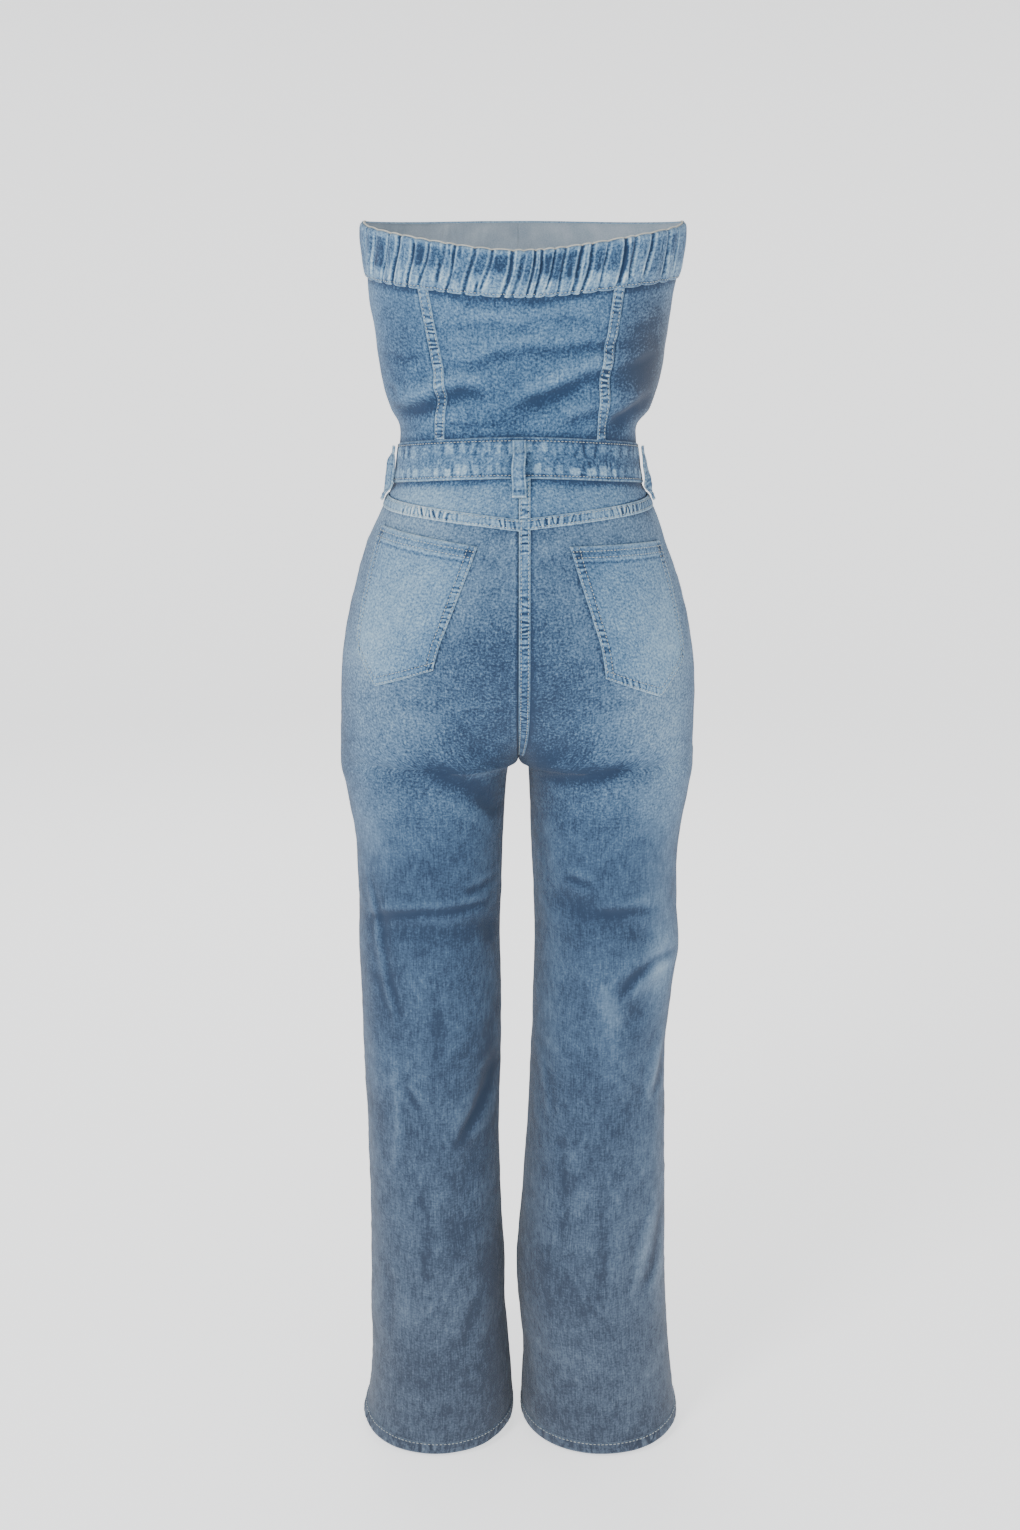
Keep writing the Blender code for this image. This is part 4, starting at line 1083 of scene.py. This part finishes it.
# ---------------------------------------------------------------- waistband, yoke, legs, hems
def waistband():
    for side in (LEFT, RIGHT):
        name = "waistband_" + SIDE_NAMES[side]
        patch = cut(side, constant(0.0), constant(1.0), waist_top, waist_bottom, 270, 28,
                    (0.1 * MM, 0.1 * MM, 0, 0))
        patch.lift(WAISTBAND_LIFT + 0.3 * MM * ripple(patch.base, 0.022, 71))
        half = WAISTBAND_HEIGHT * 0.5
        patch.puckers(patch.left, patch.top, half, 8 * MM, 0.5 * MM, 73 + side, 0.26,
                      slant=0.25, reach=1.5 * MM)
        patch.puckers(patch.left, patch.bottom, half, 7 * MM, 0.45 * MM, 79 + side, 0.26,
                      slant=0.25, reach=1.4 * MM)
        patch.rubbed(patch.left, patch.top, 3 * MM, 17 * MM, 83 + side, 0.36)
        patch.rubbed(patch.left, patch.bottom, 3 * MM, 14 * MM, 87 + side, 0.40)
        patch.puckers(patch.top, patch.left % 0.05, 0.05, 11 * MM, 0.35 * MM, 89 + side, 0.12,
                      slant=0.3, reach=1.3 * MM)
        for edge, inside in WAISTBAND_STITCHES.items():
            patch.stitched(getattr(patch, edge) - inside, 0.45 * MM, 1.1 * MM, 0.30)
        patch.rolled(patch.top, 1.5 * MM, 1.9 * MM, 0.30)
        patch.rolled(patch.bottom, 1.6 * MM, 1.9 * MM, 0.36)
        # Painted shadow beside each belt loop
        for place in (0.0, 0.475):
            beside_loop = np.abs(patch.left - patch.left[:, -1:] * place) - LOOP_WIDTH / 2
            patch.painted_shadow(beside_loop, 0.16, 5 * MM)
        lay(name, patch, "trim", [name], TURNED)


def yoke():
    for side in (LEFT, RIGHT):
        name = "yoke_" + SIDE_NAMES[side]
        patch = cut(side, constant(0.0), constant(0.5), waist_bottom, yoke_seam, 92, 26,
                    (0.1 * MM, 0.3 * MM, 3 * MM, 3 * MM))
        patch.pressed(patch.left, 0.8 * MM, 1.8 * MM).pressed(patch.right, 1.0 * MM, 2.0 * MM)
        patch.height = patch.height - 1.5 * MM * smooth((1.5 * MM - patch.bottom) / (1.5 * MM))
        # Painted shadow under the waistband and beside the felled bands
        patch.painted_shadow(patch.top, 0.40, 4.5 * MM).painted_shadow(patch.bottom, 0.22)
        if side == RIGHT:
            patch.painted_shadow(patch.left - FELL_WIDTH, 0.26)
        else:
            patch.painted_shadow(patch.left, 0.10)
        lay(name, patch, "seat", [name])


def round_the_arch(z_top):
    """Where further rows keep the crotch's arch round, as shares of the way down the inseam."""
    low = float(hem_top(0.0))
    return [(z_top - CROTCH_Z + drop * MM) / (z_top - low)
            for drop in (-1.0, 0.0, 0.2, 0.6, 1.2, 2.0, 3.0, 4.2, 5.6, 7.2, 9.0, 11.0)]


def legs():
    for side in (LEFT, RIGHT):
        name = "back_leg_" + SIDE_NAMES[side]
        patch = cut(side, constant(0.0), constant(0.5), yoke_seam, hem_top, 86, 290,
                    (0.1 * MM, 0.3 * MM, 0, 3 * MM), round_the_arch(float(yoke_seam(0.0))))
        patch.pressed(patch.left, 0.9 * MM, 2.6 * MM).pressed(patch.right, 1.0 * MM, 2.6 * MM)
        patch.puckers(patch.top, patch.right, 12 * MM, 11 * MM, 0.5 * MM, 91 + side, 0.06,
                      reach=3.4 * MM)
        # Painted shadow beside the felled bands and round the pocket
        patch.painted_shadow(patch.top - FELL_WIDTH, 0.18, 3 * MM)
        beside_seam = np.where(patch.z > CROTCH_Z + 0.012, patch.left, 1.0)
        patch.painted_shadow(beside_seam - (FELL_WIDTH if side == RIGHT else 0), 0.24, 3 * MM)
        shape = [POCKETS[side][k] for k in (0, 2, 3, 4, 1)]
        outside, _ = beside(shape, patch.base[..., 0] / MM, patch.z / MM)
        patch.painted_shadow(np.where(outside * side < 0, 1.0, np.abs(outside) * MM), 0.22, 3 * MM)
        lay(name, patch, "leg", [name])
        name = "front_leg_" + SIDE_NAMES[side]
        patch = cut(side, constant(0.5), constant(1.0), waist_bottom, hem_top, 58, 180,
                    (0.3 * MM, 0.1 * MM, 3 * MM, 3 * MM), round_the_arch(float(waist_bottom(1.0))))
        patch.pressed(patch.left, 1.0 * MM, 2.8 * MM).pressed(patch.right, 0.9 * MM, 2.8 * MM)
        lay(name, patch, "leg", [name])


def hems():
    for side in (LEFT, RIGHT):
        name = "hem_" + SIDE_NAMES[side]
        patch = cut(side, constant(0.0), constant(1.0), hem_top, hem_bottom, 380, 10)
        patch.lift(HEM_LIFT)
        patch.puckers(patch.left, patch.top, patch.top[-1:], 7.5 * MM, 0.8 * MM, 97 + side, 0.22,
                      slant=0.9, reach=1.7 * MM)
        patch.rubbed(patch.left, patch.bottom, 1 * MM, 9 * MM, 99 + side, 0.16, (3, 8), (2, 7))
        patch.rolled(patch.top, 0.8 * MM, 1.4 * MM, 0.26)
        patch.rolled(patch.bottom, 1.2 * MM, 1.6 * MM, 0.22)
        lay(name, patch, "leg", [name], TURNED, ring=True)


# ---------------------------------------------------------------- felled seams
def felled(name, side, line, along, count, seed, finish="seat", spacing=3.9 * MM):
    """A narrow band of turned cloth beside a seam. line(t, across) gives its (s, z) at t along
    and at a distance across, from the seam's edge inward, in metres."""
    t, across = np.meshgrid(spread(count, *along), np.linspace(-FELL_TUCK, FELL_WIDTH, 13))
    patch = Patch(side, *line(t, across))
    patch.across = across
    patch.lift(0.95 * MM)
    patch.puckers(patch.left, across, FELL_WIDTH, spacing, 0.5 * MM, seed, 0.80)
    patch.rubbed(patch.left, across, 1 * MM, FELL_WIDTH - 1 * MM, seed + 1, 0.14, (3, 9), (1, 9))
    for inside in (FELL_STITCH, FELL_WIDTH - FELL_STITCH):
        patch.stitched(across - inside, 0.25 * MM, 0.8 * MM, 0.10)
    for distance in (across + FELL_TUCK, FELL_WIDTH - across):
        patch.rolled(distance, 0.9 * MM, 1.3 * MM, 0.40)
    patch.fade = patch.fade + 0.08
    lay(name, patch, finish, (), 1.0 * MM)


def reach_to_s(side, s, z, distance):
    """How much s changes over a distance along the cloth."""
    step = 0.01
    span = np.linalg.norm(skin(side, s + step, z) - skin(side, s, z), axis=-1)
    return distance * step / span


def felled_seams(lines):
    for side in (LEFT, RIGHT):
        line = lines[side, "back"]

        def beside_princess(z, across, side=side, line=line):
            s = line(z)
            return s - reach_to_s(side, s, z, across), z

        top = float(band_bottom(float(line(0.13)))) + 1 * MM
        low = float(waist_top(float(line(0.0)))) - 1 * MM
        felled("princess_fell_" + SIDE_NAMES[side], side, beside_princess, (top, low), 190,
               110 + side, "bodice")

        def along_yoke(s, across):
            return s, yoke_seam(s) + FELL_TUCK - across

        felled("yoke_fell_" + SIDE_NAMES[side], side, along_yoke, (0.0, 0.5), 260, 120 + side)

    def back_seam(z, across):
        return reach_to_s(RIGHT, 0.0, z, across), z

    top = float(waist_bottom(0.0)) + 1 * MM
    felled("seat_fell", RIGHT, back_seam, (top, CROTCH_Z + 0.012), 330, 130, spacing=5.6 * MM)


# ---------------------------------------------------------------- pockets
def pockets():
    for side in (LEFT, RIGHT):
        name = "back_pocket_" + SIDE_NAMES[side]
        corners = {}
        for label, (x, z) in zip(POCKET_CORNERS, POCKETS[side]):
            corners[label] = np.array((float(place_at(side, abs(x) * MM, z * MM)), z * MM))
        span = corners["bottom_outer"][0] - corners["bottom_inner"][0]
        point = (corners["point"][0] - corners["bottom_inner"][0]) / span
        u, v = np.meshgrid(spread(92), spread(104))
        u = np.where(np.abs(u - point) < 0.5 / 92, point, u)
        top = corners["top_inner"] + (corners["top_outer"] - corners["top_inner"]) * u[..., None]
        low_in = corners["bottom_inner"] + (corners["point"] - corners["bottom_inner"]) * (
            u / point)[..., None]
        low_out = corners["point"] + (corners["bottom_outer"] - corners["point"]) * (
            (u - point) / (1 - point))[..., None]
        low = np.where((u <= point)[..., None], low_in, low_out)
        place = top + (low - top) * v[..., None]
        patch = Patch(side, place[..., 0], place[..., 1])
        patch.lift(2.3 * MM)
        patch.fade = patch.fade + 0.08
        edge = np.minimum(patch.left, patch.right)
        around = np.minimum(edge, patch.bottom)
        inner_first = np.where(patch.left < patch.right, patch.left, 1.0)
        outer_first = np.where(patch.left < patch.right, 1.0, patch.right)
        patch.puckers(patch.top, inner_first, 10 * MM, 4.6 * MM, 0.55 * MM, 141 + side, 0.62)
        patch.puckers(patch.top, outer_first, 9 * MM, 8.0 * MM, 0.4 * MM, 145 + side, 0.34)
        patch.puckers(patch.left, patch.bottom, 10 * MM, 5.4 * MM, 0.4 * MM, 151 + side, 0.42)
        fold_line = patch.top - 15.0 * MM
        patch.height = patch.height + 0.7 * MM * smooth(-fold_line / (1.0 * MM))
        # Pale along the edge of the hem's step, and a dark line painted below it as the hem's
        # shadow
        patch.fade = patch.fade + 0.16 * bell((fold_line + 1.2 * MM) / (1.2 * MM)) \
            - 0.26 * bell((fold_line - 0.9 * MM) / (1.3 * MM))
        inside_edges = smooth((edge - 2 * MM) / (4 * MM))
        patch.fade = patch.fade - 0.14 * bell((patch.top - 7.4 * MM) / (1.2 * MM)) * inside_edges
        for inside, dark in zip(POCKET_STITCHES, (0.16, 0.22)):
            patch.stitched(around - inside, dark=dark)
        for inside in POCKET_HEM_STITCHES:
            patch.stitched(patch.top - inside)
        patch.rolled(edge, 1.2 * MM, 1.5 * MM, 0.36).rolled(patch.bottom, 1.2 * MM, 1.5 * MM, 0.36)
        patch.rolled(patch.top, 0.9 * MM, 1.5 * MM, 0.34)
        for corner in (patch.left, patch.right):
            patch.fade = patch.fade - 0.30 * bell((corner - 5 * MM) / (3.5 * MM)) * bell(
                (patch.top - 8 * MM) / (5 * MM))
        lay(name, patch, "seat", [name], 1.4 * MM,
            rests_on=["back_leg_" + SIDE_NAMES[side] + "_cloth"])


# ---------------------------------------------------------------- belt loops
def belt_loop(name, side, s, seed, turns=(0, 0), inward=0.0, backward=0.0):
    """A strip sewn down at both ends. Between them its face is turned towards the back by the
    given degrees, from top to bottom, and it sags inward and backward a little."""
    top, bottom = float(waist_top(s)) + LOOP_TOP, float(waist_top(s)) + LOOP_BOTTOM
    belt_edge = float(waist_bottom(s))
    spot = np.array([s + 0.01, s - 0.01])
    span = skin(side, spot, top)
    width_s = LOOP_WIDTH / 2 / np.linalg.norm(span[0] - span[1]) * 0.02
    w, v = np.meshgrid(spread(16, -1, 1), spread(76))
    z = top + (bottom - top) * v
    end_share = LOOP_END / (top - bottom)
    bow = smooth((np.minimum(v, 1 - v) / end_share - 1) / 1.6)
    over_band = np.clip((z - belt_edge + 4 * MM) / (8 * MM), 0, 1)
    seat = 1.1 * MM + WAISTBAND_LIFT * over_band
    patch = Patch(side, s + w * width_s, z)
    flat_normal = outward(side, np.full(z.shape, s), z)
    middle = skin(side, np.full(z.shape, s), z)
    edge = (skin(side, s + width_s, z) - skin(side, s - width_s, z)) / 2
    free = (bow > 0)[..., None]
    draws = np.random.default_rng(seed)
    turn = np.radians(np.interp(v[:, :1], np.linspace(0, 1, len(turns)), turns)) * bow
    across = edge * np.cos(turn)[..., None] + flat_normal * (
        np.linalg.norm(edge, axis=-1) * np.sin(turn))[..., None]
    patch.base = np.where(free, middle + across * w[..., None], patch.base)
    wave = 0.5 * MM * np.sin(v * 9 + draws.uniform(0, 6)) * bow
    rise = seat + (LOOP_STANDOFF - inward) * bow + LOOP_THICKNESS + wave
    patch.base = patch.base + flat_normal * rise[..., None]
    patch.base[..., 1] += backward * bow
    patch.normal = unit(np.cross(np.gradient(patch.base, axis=1),
                                 np.gradient(patch.base, axis=0))) * -side
    patch.height = np.zeros(z.shape)
    patch.left = (w + 1) * LOOP_WIDTH / 2
    patch.right = LOOP_WIDTH - patch.left
    sway = 0.9 * MM * np.sin(v * 7 + draws.uniform(0, 6)) * bow
    patch.shift = unit(edge) * (sway * side)[..., None]
    patch.puckers(patch.top, patch.left, LOOP_WIDTH, 6 * MM, 0.3 * MM, seed + 1, 0.24)
    for distance in (patch.left, patch.right):
        patch.stitched(distance - NARROW_STITCH, 0.25 * MM, 0.8 * MM, 0.14)
        patch.rolled(distance, 0.9 * MM, 1.4 * MM, 0.16)
    patch.height = patch.height - 0.2 * MM * bell((patch.left - LOOP_WIDTH / 2) / (1.5 * MM))
    patch.stitched(patch.bottom - LOOP_END, 0.5 * MM, 1.2 * MM, 0.30)
    patch.rolled(patch.top, 0.7 * MM, 1.4 * MM, 0.22)
    patch.rolled(patch.bottom, 0.7 * MM, 1.4 * MM, 0.30)
    patch.fade = patch.fade + 0.14
    lay(name, patch, "trim", [name], 1.9 * MM, inside="trim")


# ---------------------------------------------------------------- front closing
def front_strip(name, width, z_top, z_bottom, base, finish, seed):
    t, v = np.meshgrid(spread(28, -1, 1), spread(int((z_top - z_bottom) / (1.3 * MM))))
    z = z_top + (z_bottom - z_top) * v
    x = np.abs(t) * width / 2
    on_left = place_at(LEFT, np.maximum(x, 0.01 * MM), z, True)
    on_right = place_at(RIGHT, np.maximum(x, 0.01 * MM), z, True)
    s = np.where(t >= 0, on_left, 2 - on_right)
    patch = Patch(LEFT, s, z)
    patch.left, patch.right = (1 - t) * width / 2, (1 + t) * width / 2
    patch.lift(base + DENIM)
    for later, distance in enumerate((patch.left, patch.right), 1):
        patch.puckers(patch.top, distance, 8 * MM, 6 * MM, 0.3 * MM, seed + later, 0.14)
        patch.stitched(distance - NARROW_STITCH)
        patch.rolled(distance, 1.0 * MM, 1.4 * MM, 0.28)
    patch.fade = patch.fade + 0.06
    lay(name, patch, finish, [name], rests_on=["bodice_front_centre_left_cloth"])


def fly():
    top = float(waist_bottom(1.0)) - 0.5 * MM
    u, v = np.meshgrid(spread(28), spread(110))
    z = top - FLY_LENGTH * v
    round_off = np.sqrt(np.clip(1 - np.clip((v - 0.7) / 0.3, 0, 1) ** 2, 0, 1))
    reach = np.maximum(FLY_WIDTH * round_off, 3 * MM)
    x = 0.6 * MM + (reach - 0.6 * MM) * u
    patch = Patch(LEFT, place_at(LEFT, x, z, True), z)
    patch.lift(0.8 * MM + DENIM)
    for inside in FLY_STITCHES:
        patch.stitched(patch.right - inside)
    patch.puckers(patch.top, patch.right, 10 * MM, 8 * MM, 0.3 * MM, 163, 0.08, reach=1.5 * MM)
    patch.rolled(patch.left, 1.0 * MM, 1.6 * MM)
    patch.rolled(patch.right, 1.2 * MM, 1.6 * MM, 0.10)
    patch.rolled(patch.bottom, 1.0 * MM, 1.6 * MM, 0.10)
    lay("fly", patch, "leg", ["fly"], rests_on=["front_leg_left_cloth"])


def button(name, z, radius, seat_height):
    """A plain shank button: a rolled rim round a dished face with a low dome in it."""
    profile = ((0.0, 1.35), (0.30, 1.30), (0.52, 1.02), (0.62, 0.86), (0.74, 0.98), (0.84, 1.22),
               (0.93, 1.26), (0.99, 0.98), (1.0, 0.62), (0.95, 0.24), (0.82, 0.0), (0.45, -0.05),
               (0.0, -0.05))
    shape = bmesh.new()
    line = [shape.verts.new((r * radius, 0, h * 2 * MM)) for r, h in profile]
    edges = [shape.edges.new(pair) for pair in zip(line, line[1:])]
    bmesh.ops.spin(shape, geom=line + edges, cent=(0, 0, 0), axis=(0, 0, 1),
                   angle=2 * math.pi, steps=36, use_merge=True)
    bmesh.ops.remove_doubles(shape, verts=shape.verts[:], dist=1e-6)
    bmesh.ops.recalc_face_normals(shape, faces=shape.faces[:])
    point, normal = cloth(LEFT, np.array(1.0), np.array(z), np.array(seat_height))
    turn = Vector((0, 0, 1)).rotation_difference(Vector(normal)).to_matrix().to_4x4()
    bmesh.ops.transform(shape, matrix=Matrix.Translation(Vector(point)) @ turn,
                        verts=shape.verts[:])
    mesh = bpy.data.meshes.new(name)
    shape.to_mesh(mesh)
    shape.free()
    mesh.shade_smooth()
    piece = show(name + "_metal", mesh, "metal", [name])
    soft = piece.modifiers.new("round", "SUBSURF")
    soft.levels = soft.render_levels = 1


def front_closing():
    base = 0.6 * MM
    band_seat = BAND_LIFT + base
    top, line, low = (float(band_top(1.0)) - 1 * MM, float(band_bottom(1.0)),
                      float(waist_top(1.0)) + 1 * MM)
    front_strip("band_placket", PLACKET_WIDTH, top, line + 0.6 * MM, band_seat, "trim", 171)
    front_strip("bodice_placket", PLACKET_WIDTH, line - 0.6 * MM, low, base, "bodice", 175)
    for k in range(BODICE_BUTTONS):
        on_band = k == 0
        z = (top + line) / 2 if on_band else line + (low - line) * (k - 0.5) / 4.5
        seat = (band_seat if on_band else base) + DENIM + BUTTON_CLEARANCE
        button(f"bodice_button_{k + 1}", z, BODICE_BUTTON_RADIUS, seat)
    middle = float(waist_top(1.0) + waist_bottom(1.0)) / 2
    button("waist_button", middle, WAIST_BUTTON_RADIUS, WAISTBAND_LIFT + BUTTON_CLEARANCE)


# ---------------------------------------------------------------- stitching
class Stitches:
    """Rows of separate stitches, gathered into one piece."""

    def __init__(self, name, length=2.5 * MM, gap=1.0 * MM, thick=0.30 * MM):
        self.name, self.length, self.gap, self.thick = name, length, gap, thick
        self.places = []
        self.draws = np.random.default_rng(len(name) * 7 + 3)

    def row(self, name, edge, wanted, first=0.0, last=1.0):
        """Follows the line that lies a wanted distance inside an edge of a piece, between two
        shares of the way along it."""
        patch = laid[name]
        points, upright = patch.points(), patch.normal
        difference = getattr(patch, edge) - wanted
        if edge not in ("left", "right"):
            points, upright = points.transpose(1, 0, 2), upright.transpose(1, 0, 2)
            difference = difference.T
        path, normals = [], []
        for k, line in enumerate(difference):
            crossing = np.nonzero(np.diff(np.sign(line)) != 0)[0]
            if len(crossing) == 0:
                continue
            j = crossing[0]
            share = line[j] / (line[j] - line[j + 1] + 1e-12)
            path.append(points[k, j] * (1 - share) + points[k, j + 1] * share)
            normals.append(upright[k, j])
        if len(path) > 3:
            kept = slice(int(len(path) * first), int(len(path) * last))
            self.follow(np.array(path)[kept], np.array(normals)[kept])

    def follow(self, path, normals):
        step = np.linalg.norm(np.diff(path, axis=0), axis=1)
        far = np.concatenate([[0], np.cumsum(step)])
        pitch = self.length + self.gap
        for place in np.arange(pitch * 0.6, far[-1] - pitch * 0.4, pitch):
            place += self.draws.uniform(-0.15, 0.15) * MM
            ends = [np.array([np.interp(at, far, path[:, k]) for k in range(3)])
                    for at in (place - self.length / 2, place + self.length / 2)]
            normal = np.array([np.interp(place, far, normals[:, k]) for k in range(3)])
            self.stitch(Vector(ends[0]), Vector(ends[1]), Vector(normal).normalized())

    def stitch(self, start, end, normal):
        along = (end - start).normalized()
        across = normal.cross(along).normalized()
        turn = Matrix((along, across, along.cross(across))).transposed().to_4x4()
        size = Matrix.Diagonal(((end - start).length / 2, self.thick * 1.15, self.thick, 1))
        place = Matrix.Translation((start + end) / 2 + normal * self.thick * 0.45)
        self.places.append(place @ turn @ size)

    def done(self):
        """Copies one rounded stitch to every place."""
        shape = bmesh.new()
        bmesh.ops.create_uvsphere(shape, u_segments=5, v_segments=3, radius=1,
                                  matrix=Matrix.Rotation(math.pi / 2, 4, "Y"))
        corners = np.array([(*vert.co, 1.0) for vert in shape.verts])
        faces = [[vert.index for vert in face.verts] for face in shape.faces]
        shape.free()
        points = np.einsum("nij,kj->nki", np.array(self.places), corners)[..., :3]
        mesh = bpy.data.meshes.new(self.name)
        mesh.from_pydata(points.reshape(-1, 3).tolist(), [],
                         [[index + n * len(corners) for index in face]
                          for n in range(len(self.places)) for face in faces])
        mesh.shade_smooth()
        show(self.name, mesh, "thread")


def sew(name, rows, *size):
    """Makes one piece of all its rows of stitches, each as Stitches.row takes it."""
    stitches = Stitches(name, *size)
    for row in rows:
        stitches.row(*row)
    stitches.done()


def sides_of(name):
    return [(name, edge, NARROW_STITCH) for edge in ("left", "right")]


def sides_of_fell(name):
    return [(name, "across", inside) for inside in (FELL_STITCH, FELL_WIDTH - FELL_STITCH)]


def stitching():
    sides = SIDE_NAMES.values()
    sew("band_stitches", [
        ("top_band_back", "bottom", BAND_STITCH),
        *(("top_band_front_" + side, edge, FRONT_BAND_STITCH)
          for side in sides for edge in ("bottom", "top")),
        *sides_of("band_placket")])
    rows = []
    for side in sides:
        rows += sides_of_fell("princess_fell_" + side)
        rows += [("bodice_front_centre_" + side, "left", inside, 0.03, 0.97)
                 for inside in FRONT_PRINCESS_STITCHES]
    sew("bodice_stitches", rows + sides_of("bodice_placket"))
    sew("waistband_stitches", [
        *(("waistband_" + side, *row) for side in sides for row in WAISTBAND_STITCHES.items()),
        *sides_of("belt_loop_back"),
        *sides_of("belt_loop_side_left"),
        *sides_of("belt_loop_side_right")])
    sew("seat_stitches", [
        *sides_of_fell("yoke_fell_left"),
        *sides_of_fell("yoke_fell_right"),
        *sides_of_fell("seat_fell"),
        ("fly", "right", FLY_STITCHES[0]),
        ("fly", "right", FLY_STITCHES[1], 0.0, 0.9)])
    rows = []
    for name in ("back_pocket_" + side for side in sides):
        for inside in POCKET_STITCHES:
            rows += [(name, "left", inside, 0.0, 0.98), (name, "right", inside, 0.0, 0.98),
                     (name, "bottom", inside, 0.02, 0.98)]
        rows += [(name, "top", inside) for inside in POCKET_HEM_STITCHES]
    sew("pocket_stitches", rows)
    sew("hem_stitches", [("hem_" + side, "top", HEM_STITCH) for side in sides], 3.0 * MM, 1.2 * MM)


# ---------------------------------------------------------------- elastic edge
def elastic_edge():
    """The pale edge of the casing that peeps over the gathered band's top."""
    patch = laid["top_band_back"]
    points =patch.points()[0] - patch.normal[0] * (1.7 * MM) + np.array((0, 0, 0.2 * MM))
    line = bpy.data.curves.new("band_edge_tape", "CURVE")
    line.dimensions, line.bevel_depth, line.bevel_resolution = "3D", 0.85 * MM, 2
    spline = line.splines.new("POLY")
    spline.points.add(len(points) - 1)
    spline.points.foreach_set("co", np.concatenate([points, np.ones((len(points), 1))], 1).ravel())
    rough = bpy.data.objects.new("band_edge_tape", line)
    mesh = bpy.data.meshes.new_from_object(rough)
    mesh.name = "band_edge_tape"
    bpy.data.objects.remove(rough)
    mesh.materials.clear()
    mesh.shade_smooth()
    show("band_edge_tape", mesh, "tape")


# ---------------------------------------------------------------- the garment
gathered_band()
front_bands()
princess_lines = bodice()
waistband()
yoke()
legs()
hems()
felled_seams(princess_lines)
pockets()
belt_loop("belt_loop_back", LEFT, 0.0, 180)
belt_loop("belt_loop_side_left", LEFT, 0.460, 183, (26, 36, 36, 30), 6 * MM, 6 * MM)
belt_loop("belt_loop_side_right", RIGHT, 0.460, 187, (6, 8, 14, 38, 34), 6 * MM, 6 * MM)
front_closing()
fly()
elastic_edge()
stitching()


# ---------------------------------------------------------------- camera, floor and light
FLOOR_REACH = 9             # from the middle to the edge
FLAT_RADIUS = 4             # where the floor starts to rise
WALL_HEIGHT = 3.4
CAMERA_PLACE = (0.0085, 1.8, 0.0534)
CAMERA_TILT = 12            # degrees below the level
SENSOR = 36                 # mm
PICTURE_HEIGHT = 1530       # pixels
FOCAL_LENGTH = 1819.7       # pixels of that picture


def stage_floor():
    """A floor that rises all round into a low wall, so that no horizon shows."""
    shape = bmesh.new()
    bmesh.ops.create_grid(shape, x_segments=72, y_segments=72, size=FLOOR_REACH)
    for vert in shape.verts:
        rise = (vert.co.xy.length - FLAT_RADIUS) / (FLOOR_REACH - FLAT_RADIUS)
        vert.co.z = WALL_HEIGHT * float(smooth(rise))
    mesh = bpy.data.meshes.new("floor")
    shape.to_mesh(mesh)
    shape.free()
    mesh.shade_smooth()
    floor = bpy.data.objects.new("floor", mesh)
    floor.location.z = cad_box[0].z - 0.004
    made = Finish("pale floor")
    mesh.materials.append(made.surface(
        Base_Color=(0.9, 0.9, 0.9, 1), Roughness=0.9, Emission_Color=(1, 1, 1, 1),
        Emission_Strength=1.1))
    bpy.context.scene.collection.objects.link(floor)


def camera():
    view = bpy.data.cameras.new("camera")
    view.sensor_width = SENSOR
    view.lens = SENSOR * FOCAL_LENGTH / PICTURE_HEIGHT
    eye = bpy.data.objects.new("camera", view)
    eye.location = CAMERA_PLACE
    eye.rotation_euler = (math.radians(90 - CAMERA_TILT), 0, math.radians(180))
    bpy.context.scene.collection.objects.link(eye)
    bpy.context.scene.camera = eye


def lamp(name, place, target, size, power):
    light = bpy.data.lights.new(name, "AREA")
    light.size, light.energy = size, power
    holder = bpy.data.objects.new(name, light)
    holder.location = place
    holder.rotation_euler = (Vector(target) - Vector(place)).to_track_quat("-Z", "Y").to_euler()
    bpy.context.scene.collection.objects.link(holder)


stage_floor()
camera()
lamp("key", (1.6, 2.2, 1.6), (0, 0, -0.3), 0.8, 56)
lamp("fill", (-2.4, 1.6, 0.4), (0, 0, -0.4), 1.8, 4)
lamp("front", (0.5, -2.6, 1.4), (0, 0, -0.3), 1.8, 30)
sky = bpy.data.worlds.new("studio")
sky.use_nodes = True
sky.node_tree.nodes["Background"].inputs["Color"].default_value = (0.95, 0.97, 1.0, 1)
sky.node_tree.nodes["Background"].inputs["Strength"].default_value = 0.6
bpy.context.scene.world = sky
